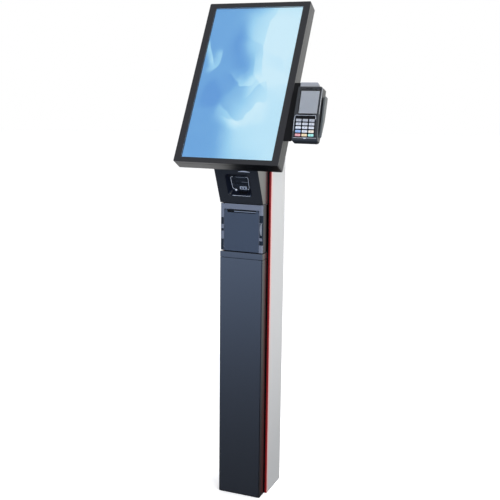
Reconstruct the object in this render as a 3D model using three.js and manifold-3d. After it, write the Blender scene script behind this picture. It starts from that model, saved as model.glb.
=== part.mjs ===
// Self-service kiosk with a card payment terminal.
// Millimetres, +X right, +Y to the back, +Z up. Origin: centre of the column's footprint, on the floor.
import * as THREE from "three";
import { mergeVertices } from "three/addons/utils/BufferGeometryUtils.js";
import Module from "manifold-3d";

const wasm = await Module();
wasm.setup();

// ---------------------------------------------------------------- driving dimensions
const GAP = 0.4; // clearance between pieces that touch

// column
const COL_HALF_W = 84; // rear (light) column, half width
const COL_Y0 = -40; // its front flange
const COL_Y1 = 86; // its back face
const COL_SHEET = 2;
const FRONT_HALF_W = 74; // front (dark) column, half width
const FRONT_Y = -86; // its front face
const SIDE_SHEET = 1.6;
const BASE_T = 30; // ballast base plate
const DOOR_Z0 = 4;
const DOOR_Z1 = 818.5;
const BAND_Z0 = 819.5;
const BAND_Z1 = 839;
const DOOR_PIN = { x: -67.5, y: -79.5, r: 1.5 };

// printer
const PR_Z0 = 842;
const PR_Z1 = 996;
const PR_CORNER = 7; // its round upright corners
const PR_DOOR_HALF_W = 59.8;
const PR_DOOR_Z0 = 843;
const PR_DOOR_Z1 = 977.6;
const PR_SLOT_Z = 968; // lower edge of the paper slot
const PR_PIN = { y: -79.5, z: 849.5, r: 1.5 };
const ROLL = { y: -22, z: 897, r: 38, bore: 6.8, half: 39.75 };
const PLATEN = { y: -70, z: 960, r: 7.5 };
const GEAR_MODULE = 1;
const PLATEN_TEETH = 20;
const PINION_TEETH = 12;
const GEAR_CENTRES = 16.2;

// scanner housing
const WEDGE_Z0 = 998.6;
const WEDGE_ORIGIN_Z = 997.7;
const WEDGE_LEAN = 24.37; // degrees that its front panel leans forward
const WEDGE_WALL = 2.4;

// display head
const DISP_TILT = 29.1; // degrees back from upright
const DISP_ORIGIN = [0, -88.3, 1382.5];
const DISP_HALF_W = 172.5;
const DISP_Z0 = -281.4;
const DISP_Z1 = 282.2;
const DISP_T = 46;
const ACTIVE_HALF_W = 148.25;
const ACTIVE_HALF_H = 263.5;

// card payment terminal
const TERM_ORIGIN = [240.1, -164.3, 1287.2];
const TERM_TILT = 15.7;
const TERM_BREAK = { y: -6.5, z: -3 }; // ridge between the screen and the keypad
const TERM_PART_Y = 10; // parting plane of the two casings
const TERM_PIVOT_Y = 52;
const KEY_W = 16.4;
const KEY_H = 7.6;
const KEY_PITCH_X = 20.2;
const KEY_PITCH_Z = 10.9;
const KEYPAD_X = -3;

const rad = THREE.MathUtils.degToRad;

// ---------------------------------------------------------------- solid helpers
function solid(geometry) {
  const g = geometry.clone();
  g.deleteAttribute("normal");
  g.deleteAttribute("uv");
  const m = mergeVertices(g, 1e-4);
  return new wasm.Manifold(
    new wasm.Mesh({
      numProp: 3,
      vertProperties: new Float32Array(m.attributes.position.array),
      triVerts: new Uint32Array(m.index.array),
    }),
  );
}
function box(x0, x1, y0, y1, z0, z1) {
  const g = new THREE.BoxGeometry(x1 - x0, y1 - y0, z1 - z0);
  g.translate((x0 + x1) / 2, (y0 + y1) / 2, (z0 + z1) / 2);
  return solid(g);
}
function extrude(points, depth) {
  const shape = new THREE.Shape(points.map(([a, b]) => new THREE.Vector2(a, b)));
  return new THREE.ExtrudeGeometry(shape, { depth, bevelEnabled: false, curveSegments: 8 });
}
// outline in (x, y), from z0 to z1
function prismZ(points, z0, z1) {
  const g = extrude(points, z1 - z0);
  g.translate(0, 0, z0);
  return solid(g);
}
// outline in (y, z), from x0 to x1
function prismX(points, x0, x1) {
  const g = extrude(points, x1 - x0);
  g.applyMatrix4(new THREE.Matrix4().set(0, 0, 1, x0, 1, 0, 0, 0, 0, 1, 0, 0, 0, 0, 0, 1));
  return solid(g);
}
// outline in (x, z), from y0 to y1
function prismY(points, y0, y1) {
  const g = extrude(points, y1 - y0);
  g.applyMatrix4(new THREE.Matrix4().set(1, 0, 0, 0, 0, 0, -1, y1, 0, 1, 0, 0, 0, 0, 0, 1));
  return solid(g);
}
function cylX(r, x0, x1, y, z, n = 24) {
  const g = new THREE.CylinderGeometry(r, r, x1 - x0, n);
  g.rotateZ(-Math.PI / 2);
  g.translate((x0 + x1) / 2, y, z);
  return solid(g);
}
function cylY(r, y0, y1, x, z, n = 24) {
  const g = new THREE.CylinderGeometry(r, r, y1 - y0, n);
  g.translate(x, (y0 + y1) / 2, z);
  return solid(g);
}
function cylZ(r, z0, z1, x, y, n = 24) {
  const g = new THREE.CylinderGeometry(r, r, z1 - z0, n);
  g.rotateX(Math.PI / 2);
  g.translate(x, y, (z0 + z1) / 2);
  return solid(g);
}
// rectangle with round corners, as an outline
function rounded(x0, x1, z0, z1, r, n = 4) {
  const out = [];
  for (const [cx, cz, a] of [
    [x1 - r, z0 + r, -90],
    [x1 - r, z1 - r, 0],
    [x0 + r, z1 - r, 90],
    [x0 + r, z0 + r, 180],
  ])
    for (let i = 0; i <= n; i++) {
      const t = rad(a + (90 * i) / n);
      out.push([cx + r * Math.cos(t), cz + r * Math.sin(t)]);
    }
  return out;
}
// closed solid between two outlines of the same count, in (x, z) at y0 and y1
function loftY(a, y0, b, y1) {
  const n = a.length;
  const pos = [];
  for (const [x, z] of a) pos.push(x, y0, z);
  for (const [x, z] of b) pos.push(x, y1, z);
  const idx = [];
  for (let i = 0; i < n; i++) {
    const j = (i + 1) % n;
    idx.push(i, n + j, j, i, n + i, n + j);
  }
  for (let i = 1; i < n - 1; i++) {
    idx.push(0, i, i + 1);
    idx.push(n, n + i + 1, n + i);
  }
  const g = new THREE.BufferGeometry();
  g.setAttribute("position", new THREE.Float32BufferAttribute(pos, 3));
  g.setIndex(idx);
  return solid(g);
}
function gearOutline(teeth, module) {
  const rp = (teeth * module) / 2;
  const levels = [
    [rp - 1.2 * module, 0.9 * module],
    [rp, 0.62 * module],
    [rp + 0.95 * module, 0.3 * module],
  ];
  const pts = [];
  for (let i = 0; i < teeth; i++) {
    const a = (2 * Math.PI * i) / teeth;
    const side = (s) => levels.map(([r, h]) => [r, a + s * Math.asin(h / r)]);
    for (const [r, t] of side(-1)) pts.push([r * Math.cos(t), r * Math.sin(t)]);
    for (const [r, t] of side(1).reverse()) pts.push([r * Math.cos(t), r * Math.sin(t)]);
  }
  return pts;
}

// ---------------------------------------------------------------- scene helpers
const looks = {
  anthracite: [0x3a3f49, 0.42, 0.5],
  dark_sheet: [0x4a4a4c, 0.5, 0.4],
  light_grey: [0xc9c9c6, 0.5, 0.2],
  red: [0x7c120d, 0.45, 0.1],
  black: [0x111214, 0.5, 0.1],
  black_gloss: [0x08090b, 0.15, 0.0],
  bezel: [0x39383a, 0.45, 0.2],
  printer_grey: [0x727a8c, 0.5, 0.2],
  printer_door: [0x46566a, 0.4, 0.2],
  steel: [0xb4b7bb, 0.3, 0.95],
  rubber: [0x1a1a1a, 0.9, 0],
  paper: [0xf1f0ea, 0.9, 0],
  glass: [0x7fbfe8, 0.1, 0],
  board: [0x17482c, 0.6, 0],
  grey: [0x9a9c9a, 0.5, 0.1],
  lcd: [0xa2a6ad, 0.3, 0],
  key: [0xc9ced6, 0.6, 0],
  key_blue: [0x5f93dd, 0.6, 0],
  key_peach: [0xf3c79a, 0.6, 0],
  key_red: [0xe05a5a, 0.6, 0],
  key_amber: [0xeeb060, 0.6, 0],
  key_green: [0x5fd6a8, 0.6, 0],
};
const materials = {};
for (const [k, [color, roughness, metalness]] of Object.entries(looks))
  materials[k] = new THREE.MeshStandardMaterial({ color, roughness, metalness, flatShading: true });

function add(parent, name, body, look) {
  const m = body.getMesh();
  const g = new THREE.BufferGeometry();
  g.setAttribute("position", new THREE.BufferAttribute(new Float32Array(m.vertProperties), 3));
  g.setIndex(new THREE.BufferAttribute(new Uint32Array(m.triVerts), 1));
  g.computeVertexNormals();
  const mesh = new THREE.Mesh(g, materials[look]);
  mesh.name = name;
  parent.add(mesh);
  return mesh;
}

const kiosk = new THREE.Group();

// lines of the tilted display head, in (y, z): its back plane, with a clearance behind it
const dt = rad(DISP_TILT);
const dispPoint = (back, up) => [
  DISP_ORIGIN[1] + back * Math.cos(dt) + up * Math.sin(dt),
  DISP_ORIGIN[2] - back * Math.sin(dt) + up * Math.cos(dt),
];
function zBehindDisplay(y) {
  const [y0, z0] = dispPoint(DISP_T + GAP, 0);
  return z0 + ((y - y0) * Math.cos(dt)) / Math.sin(dt);
}

// ================================================================ column
{
  // ballast base plate, narrowed where it passes between the column's front flanges,
  // and notched at the front left corner, where the edge of the service door turns in
  let base = prismZ(
    [
      [-57.6, -83.6],
      [71.8, -83.6],
      [71.8, -42.6],
      [65.4, -42.6],
      [65.4, -37.4],
      [81.5, -37.4],
      [81.5, 83.5],
      [-81.5, 83.5],
      [-81.5, -37.4],
      [-65.4, -37.4],
      [-65.4, -42.6],
      [-71.8, -42.6],
      [-71.8, -69.6],
      [-57.6, -69.6],
    ],
    0,
    BASE_T,
  );
  for (const x of [-58, 58])
    for (const y of [-22, 62]) base = base.subtract(cylZ(5.5, -1, BASE_T + 1, x, y, 16));
  add(kiosk, "base_plate", base, "black");

  // rear column: one folded sheet, open at the front between two flanges, cut along the display's back
  const h = COL_HALF_W;
  const i = h - COL_SHEET;
  let rear = prismZ(
    [
      [-h, COL_Y0],
      [-70, COL_Y0],
      [-70, COL_Y0 + COL_SHEET],
      [-i, COL_Y0 + COL_SHEET],
      [-i, COL_Y1 - COL_SHEET],
      [i, COL_Y1 - COL_SHEET],
      [i, COL_Y0 + COL_SHEET],
      [70, COL_Y0 + COL_SHEET],
      [70, COL_Y0],
      [h, COL_Y0],
      [h, COL_Y1],
      [-h, COL_Y1],
    ],
    0,
    1610,
  );
  rear = rear.subtract(
    prismX(
      [
        [COL_Y0 - 5, zBehindDisplay(COL_Y0 - 5)],
        [COL_Y1 + 5, zBehindDisplay(COL_Y1 + 5)],
        [COL_Y1 + 5, 1700],
        [COL_Y0 - 5, 1700],
      ],
      -h - 2,
      h + 2,
    ),
  );
  // opening for the mains inlet, and a bank of cooling slots, in the back
  rear = rear.subtract(box(-26, 26, 80, 90, 62, 88));
  for (let k = 0; k < 8; k++) rear = rear.subtract(box(-45, 45, 80, 90, 640 + k * 12, 644 + k * 12));
  add(kiosk, "rear_column", rear, "light_grey");

  // accent strips on the front flanges
  for (const [name, s] of [
    ["accent_strip_left", -1],
    ["accent_strip_right", 1],
  ]) {
    const x = [s * 75.4, s * 83.2].sort((a, b) => a - b);
    add(kiosk, name, box(x[0], x[1], COL_Y0 - GAP - 1.4, COL_Y0 - GAP, 0.6, 1369), "red");
  }

  // front chassis: two side sheets, a web at the back with two openings, and the hinge tabs
  const f = FRONT_HALF_W;
  let ch = box(-f, f, -42, -40.4, 0, 1180)
    .subtract(box(-65.8, 65.8, -50, -30, -5, 800))
    .subtract(box(-58, 58, -50, -30, 846, 989))
    .subtract(box(-60, 60, -50, -30, 1020, 1160));
  ch = ch.add(box(-f, -f + SIDE_SHEET, -71.5, -40.4, 0, DOOR_Z1));
  ch = ch.add(box(f - SIDE_SHEET, f, -84.5, -40.4, 0, DOOR_Z1));
  const tab = [
    [-73, -70.5],
    [-71.4, -72.8],
    [-71.2, -80.2],
    [-69.6, -83.0],
    [-66.2, -83.2],
    [-63.8, -80.6],
    [-63.8, -77],
    [-67, -66],
    [-73, -56],
  ];
  for (const z of [38, 808])
    ch = ch.add(prismZ(tab, z, z + 4)).subtract(cylZ(DOOR_PIN.r + GAP, z - 1, z + 5, DOOR_PIN.x, DOOR_PIN.y, 16));
  add(kiosk, "front_chassis", ch, "dark_sheet");

  add(kiosk, "door_hinge_pin", cylZ(DOOR_PIN.r, BASE_T + 1, 815, DOOR_PIN.x, DOOR_PIN.y, 16), "steel");

  // trim band: a cap over the top of the lower bay, wrapping onto both sides
  const band = box(-f, f, FRONT_Y, -42.5, BAND_Z0, BAND_Z1).subtract(
    box(-f + SIDE_SHEET, f - SIDE_SHEET, FRONT_Y + 2, -41, BAND_Z0 - 1, BAND_Z1 - 2),
  );
  add(kiosk, "trim_band", band, "anthracite");

  // service door: a folded tray; its left edge wraps round the hinge side
  let door = box(-73.7, 71.2, FRONT_Y, FRONT_Y + 2, DOOR_Z0, DOOR_Z1);
  door = door.add(box(-73.7, -71.9, FRONT_Y, -73.5, DOOR_Z0, DOOR_Z1)); // wrap on the left side
  for (const [z0, z1] of [
    [36, 43.6],
    [806.4, 814],
  ])
    door = door.subtract(box(-75, -71.5, FRONT_Y + 2.1, -70, z0, z1)); // clearance for the hinge tabs
  door = door.add(box(68.6, 70.2, FRONT_Y + 1, -77, 36, 812)); // stiffening return on the right
  door = door.add(box(-60, 69, FRONT_Y + 1, -78, 36, 37.6)).add(box(-60, 69, FRONT_Y + 1, -78, 804, 805.6));
  for (const [z0, z1] of [
    [44, 60],
    [788, 806],
  ]) {
    door = door.add(
      prismZ(
        [
          [-72.4, -84.6],
          [-63.5, -84.6],
          [-63.5, -78.5],
          [-65, -76],
          [-70, -76],
          [-72.4, -78],
        ],
        z0,
        z1,
      ),
    );
    door = door.subtract(cylZ(DOOR_PIN.r + GAP, z0 - 1, z1 + 1, DOOR_PIN.x, DOOR_PIN.y, 16));
  }
  add(kiosk, "front_door", door, "anthracite");

  // electronics on the back wall of the column
  let pc = box(-65, 65, 34, 83.5, 380, 600);
  for (let k = 0; k < 9; k++) pc = pc.subtract(box(-56 + k * 13, -50 + k * 13, 30, 42, 376, 604));
  add(kiosk, "computer_module", pc, "dark_sheet");
  add(kiosk, "power_supply", box(-45, 45, 44, 83.5, 150, 262).subtract(box(-40, 40, 40, 48, 236, 254)), "steel");

  // mains inlet with its rocker switch, through the back wall
  let inlet = box(-25.5, 25.5, 62, 86.4, 62.5, 87.5)
    .add(box(-29, 29, 86.4, 88.2, 59, 91))
    .subtract(prismY(rounded(-22, 3, 66.5, 83.5, 2, 2), 74, 90))
    .subtract(box(7, 21, 78, 90, 63.6, 86.2));
  add(kiosk, "mains_inlet", inlet, "black");
  // the rocker stands at its "off" end and tips about its middle
  const rk = prismX(
    [
      [80.2, 68.6],
      [86.9, 66.1],
      [87.3, 75],
      [89.6, 84.0],
      [81.5, 81.5],
    ],
    7.6,
    20.4,
  );
  add(kiosk, "power_rocker", rk, "black_gloss");
}

// ================================================================ receipt printer
{
  const f = FRONT_HALF_W;
  const rim = [
    [f, -42.6],
    [-f, -42.6],
  ];
  for (const s of [-1, 1])
    for (let k = 0; k <= 4; k++) {
      const t = rad(s < 0 ? 180 + 22.5 * k : 270 + 22.5 * k);
      rim.push([s * (f - PR_CORNER) + PR_CORNER * Math.cos(t), FRONT_Y + PR_CORNER + PR_CORNER * Math.sin(t)]);
    }
  let fr = prismZ(rim, PR_Z0, PR_Z1);
  fr = fr.subtract(box(-60.6, 60.6, FRONT_Y - 1, -70, PR_Z0 - 1, 978.6)); // door opening
  fr = fr.subtract(box(-71.4, 71.4, -78, -46, 845.5, 992)); // cavity
  fr = fr.subtract(box(-60.6, 60.6, -79, -60, PR_Z0 - 1, 900));
  fr = fr.subtract(box(-52, 52, -60, -30, 853, 982)); // mouth of the roll bucket
  // roll bucket
  fr = fr.add(box(-56, 56, -46, 44, 850, 985).subtract(box(-52, 52, -50, 41.5, 853, 982)));
  // ribs and shelf that carry the platen and the motor
  for (const s of [-1, 1]) {
    const x = [s * 52, s * 56].sort((a, b) => a - b);
    fr = fr.add(box(x[0], x[1], -80, -45, 926, 992.5));
  }
  fr = fr.add(box(-53, 53, -79, -65, 931, 934.4));
  // lugs of the door pin
  for (const s of [-1, 1]) {
    const x = [s * 60.9, s * 64.5].sort((a, b) => a - b);
    fr = fr.add(box(x[0], x[1], -84, -74.5, 843.4, 855.5));
  }
  fr = fr.subtract(cylX(PR_PIN.r + GAP, -66, 66, PR_PIN.y, PR_PIN.z, 16));
  fr = fr.subtract(cylX(3 + GAP, -60, 60, PLATEN.y, PLATEN.z, 20));
  fr = fr.subtract(cylX(5.6 + GAP, -60, 60, ROLL.y, ROLL.z, 20));
  fr = fr.subtract(cylX(1.5 + GAP, 50, 60, PLATEN.y, PLATEN.z - GEAR_CENTRES, 16));
  // grip recesses beside the door
  fr = fr.subtract(box(61.6, 75, -87, -81, 939, 963));
  fr = fr.subtract(box(61.6, 75, -87, -81, 867, 881));
  fr = fr.subtract(box(-75, -61.6, -87, -81, 927.6, 950.4));
  fr = fr.subtract(box(-75, -61.6, -87, -81, 906, 914.4));
  fr = fr.subtract(box(-75, -61.6, -87, -81, 841, 880));
  // guide of the release lever
  fr = fr.subtract(box(62.4, 70.2, -87, -81, 891, 937.4));
  fr = fr.subtract(box(64.8, 69.2, -84, -70, 900, 929));
  add(kiosk, "printer_frame", fr, "printer_grey");

  // release lever: a slider that is pressed down to free the door
  const lever = box(62.8, 69.8, -85.4, -81.4, 899, 936.6).add(box(65.3, 68.7, -82, -75.4, 910, 926));
  add(kiosk, "release_lever", lever, "grey");

  // door: a leaf with round upper corners, a notch for the paper, and two knuckles
  const w = PR_DOOR_HALF_W;
  const outline = [];
  outline.push([-w, PR_DOOR_Z0 + 2], [-w + 2, PR_DOOR_Z0], [w - 2, PR_DOOR_Z0], [w, PR_DOOR_Z0 + 2]);
  const arc = (cx, cz, r, a0, a1, n) => {
    for (let k = 0; k <= n; k++) {
      const t = rad(a0 + ((a1 - a0) * k) / n);
      outline.push([cx + r * Math.cos(t), cz + r * Math.sin(t)]);
    }
  };
  arc(w - 8, PR_DOOR_Z1 - 8, 8, 0, 90, 5);
  outline.push([50.5, PR_DOOR_Z1], [49, PR_SLOT_Z], [-49, PR_SLOT_Z], [-50.5, PR_DOOR_Z1]);
  arc(-w + 8, PR_DOOR_Z1 - 8, 8, 90, 180, 5);
  let pd = prismY(outline, FRONT_Y, FRONT_Y + 3);
  for (const s of [-1, 1]) {
    const x = [s * 48, s * 59.6].sort((a, b) => a - b);
    pd = pd.add(box(x[0], x[1], -83.4, -76, 845, 854));
  }
  pd = pd.add(box(-56, 56, -83.4, -81, 870, 873)).add(box(-56, 56, -83.4, -81, 940, 943));
  pd = pd.subtract(cylX(PR_PIN.r + GAP, -66, 66, PR_PIN.y, PR_PIN.z, 16));
  add(kiosk, "printer_door", pd, "printer_door");
  add(kiosk, "printer_door_pin", cylX(PR_PIN.r, -64.2, 64.2, PR_PIN.y, PR_PIN.z, 16), "steel");

  // paper roll on its spindle
  const roll = cylX(ROLL.r, -ROLL.half, ROLL.half, ROLL.y, ROLL.z, 40).subtract(
    cylX(ROLL.bore, -50, 50, ROLL.y, ROLL.z, 20),
  );
  add(kiosk, "paper_roll", roll, "paper");
  add(kiosk, "paper_spindle", cylX(5.6, -58, 58, ROLL.y, ROLL.z, 20), "black");

  // platen roller, its gear and the motor pinion
  const shaft = cylX(3, -55.5, 55.5, PLATEN.y, PLATEN.z, 20);
  add(kiosk, "platen_roller", shaft.add(cylX(PLATEN.r, -41, 41, PLATEN.y, PLATEN.z, 28)), "rubber");
  const toWheel = (pts, turn, y, z) => {
    const c = Math.cos(turn);
    const s = Math.sin(turn);
    return pts.map(([a, b]) => [y + a * c - b * s, z + a * s + b * c]);
  };
  const gear = prismX(
    toWheel(gearOutline(PLATEN_TEETH, GEAR_MODULE), -Math.PI / 2, PLATEN.y, PLATEN.z),
    44,
    49,
  ).subtract(cylX(3 + GAP, 40, 52, PLATEN.y, PLATEN.z, 20));
  add(kiosk, "platen_gear", gear, "black");
  const pz = PLATEN.z - GEAR_CENTRES;
  const pinion = prismX(
    toWheel(gearOutline(PINION_TEETH, GEAR_MODULE), Math.PI / 2 + Math.PI / PINION_TEETH, PLATEN.y, pz),
    44,
    49,
  ).add(cylX(1.5, 42.5, 55.5, PLATEN.y, pz, 16));
  add(kiosk, "drive_pinion", pinion, "steel");
  const motor = cylX(8, 6, 42, PLATEN.y, pz, 28).add(box(10, 40, -76, -66, 934.8, 940));
  add(kiosk, "printer_motor", motor, "steel");

  // thermal head and tear bar
  add(kiosk, "print_head", box(-51.6, 51.6, -58, -53, 948, 970).add(box(-40, 40, -61.9, -57, 950, 968)), "black");
  const tear = box(-51, 51, -80.6, -76.2, 975.2, 977.2)
    .add(box(-48, 48, -80.6, -79.2, 969.4, 976))
    .add(box(-48, 48, -82.6, -79.2, 969.4, 970.8));
  add(kiosk, "tear_bar", tear, "steel");
}

// ================================================================ scanner housing
{
  const lean = rad(WEDGE_LEAN);
  const dir = [-Math.sin(lean), Math.cos(lean)]; // up the panel, in (y, z)
  const inn = [Math.cos(lean), Math.sin(lean)]; // into the housing
  const at = (s, d) => [FRONT_Y + dir[0] * s + inn[0] * d, WEDGE_ORIGIN_Z + dir[1] * s + inn[1] * d];
  // where the panel line meets the plane behind the display
  const [by, bz] = dispPoint(DISP_T + GAP, 0);
  const ux = Math.sin(dt);
  const uz = Math.cos(dt);
  const det = dir[0] * -uz - -ux * dir[1];
  const sTop = ((by - FRONT_Y) * -uz - -ux * (bz - WEDGE_ORIGIN_Z)) / det;
  const B = at(sTop, 0);
  const f = FRONT_HALF_W;
  const yb = -42.5;
  let w = prismX([at((WEDGE_Z0 - WEDGE_ORIGIN_Z) / dir[1], 0), B, [yb, zBehindDisplay(yb)], [yb, WEDGE_Z0]], -f, f);
  const i1 = at(6, WEDGE_WALL);
  const i2 = at(260, WEDGE_WALL);
  w = w.subtract(
    prismX([[i1[0], WEDGE_Z0 + WEDGE_WALL], i2, [-20, 1500], [-20, WEDGE_Z0 + WEDGE_WALL]], -f + 2, f - 2),
  );
  // cut the scanner opening in the panel's own frame
  const turn = new THREE.Matrix4().makeRotationX(lean).setPosition(0, FRONT_Y, WEDGE_ORIGIN_Z);
  const turned = (geoSolid) => geoSolid.transform(turn.toArray());
  w = w.subtract(turned(prismY(rounded(-41, 41, 26, 107, 12, 5), -2, 8)));
  add(kiosk, "wedge_housing", w, "anthracite");

  const panel = new THREE.Group();
  panel.position.set(0, FRONT_Y, WEDGE_ORIGIN_Z);
  panel.rotation.x = lean;
  kiosk.add(panel);
  // funnel-shaped surround
  const outer = rounded(-40.6, 40.6, 26.4, 106.6, 11.6, 5);
  const mouth = rounded(-39.6, 39.6, 27.6, 105.6, 10.8, 5);
  const throat = rounded(-31.2, 31.2, 38.8, 91.8, 4, 5);
  let bz1 = prismY(outer, 0.4, 20)
    .subtract(loftY(mouth, 0.2, throat, 16.2))
    .subtract(prismY(throat, 16, 21));
  // seat of the window
  bz1 = bz1.add(
    prismY(rounded(-34, 34, 36, 95, 4, 2), 18.4, 20).subtract(prismY(rounded(-28, 28, 43, 87, 2, 2), 18, 21)),
  );
  add(panel, "scanner_bezel", bz1, "grey");
  add(panel, "scanner_window", prismY(rounded(-30.8, 30.8, 39.2, 91.4, 3.6, 5), 16.4, 18.0), "black_gloss");
  let eng = box(-27, 27, 21, 44, 42, 88)
    .add(box(-34, 34, 21, 24, 52, 78))
    .subtract(box(-23, 23, 20, 30, 60, 84));
  eng = eng.subtract(cylY(3.2, 20, 26, 3.5, 51, 12)).subtract(cylY(3.2, 20, 26, 13.5, 51, 12));
  add(panel, "scanner_engine", eng, "dark_sheet");
}

// ================================================================ display head
const head = new THREE.Group();
head.position.set(...DISP_ORIGIN);
head.rotation.x = -dt;
kiosk.add(head);
{
  const w = DISP_HALF_W;
  let bezel = prismY(rounded(-w, w, DISP_Z0, DISP_Z1, 4, 3), 0, 12);
  bezel = bezel
    .subtract(box(-149.8, 149.8, -1, 4.2, -265.1, 265.1))
    .subtract(box(-148.5, 148.5, -1, 13, -263.8, 263.8))
    .subtract(box(-160, 160, 6, 13, -274, 274));
  add(head, "display_bezel", bezel, "bezel");
  add(head, "touch_glass", box(-149.4, 149.4, 0.8, 3.8, -264.7, 264.7), "glass");
  add(head, "lcd_panel", box(-157, 157, 6.4, 17, -271, 271), "black");

  let tub = prismY(rounded(-w, w, DISP_Z0, DISP_Z1, 4, 3), 12.4, DISP_T)
    .subtract(box(-w + 2.2, w - 2.2, 12, DISP_T - 2.2, DISP_Z0 + 2.2, DISP_Z1 - 2.2))
    .subtract(box(-35, 35, 40, 50, -60, 20));
  // ventilation slots near the top of the back
  for (let k = 0; k < 6; k++) tub = tub.subtract(box(-160, -100, 40, 50, 170 + k * 12, 174 + k * 12));
  for (let k = 0; k < 6; k++) tub = tub.subtract(box(100, 160, 40, 50, 170 + k * 12, 174 + k * 12));
  tub = tub.subtract(cylX(4.6, w - 4, w + 2, 30.5, -108.2, 20));
  add(head, "display_rear_housing", tub, "bezel");
  add(head, "display_controller", box(-70, 70, 24, 43.2, -210, -90), "board");

  // plate that joins the head to the column
  const plate = box(-64, 64, DISP_T + GAP, DISP_T + 4, 60, 250)
    .subtract(box(-30, 30, 40, 60, 90, 220))
    .add(box(-81.4, -62, DISP_T + 3, DISP_T + 7, 110, 200))
    .add(box(62, 81.4, DISP_T + 3, DISP_T + 7, 110, 200));
  add(head, "display_mount_plate", plate, "steel");

  // bracket on the right side of the head, and the pin on which the terminal tilts
  // (a tray, open towards the display, with its lower end cut back on the slant)
  let br = prismX(
    [
      [0.6, -200.5],
      [45, -166],
      [45, -5],
      [0.6, -5],
    ],
    DISP_HALF_W + GAP,
    196.5,
  ).subtract(
    prismX(
      [
        [3, -195.6],
        [42.6, -164.8],
        [42.6, -7.4],
        [3, -7.4],
      ],
      DISP_HALF_W - 1,
      194,
    ),
  );
  br = br.subtract(cylX(4.4, 190, 198, 30.5, -108.2, 20));
  add(head, "terminal_bracket", br, "black");
}

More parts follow.
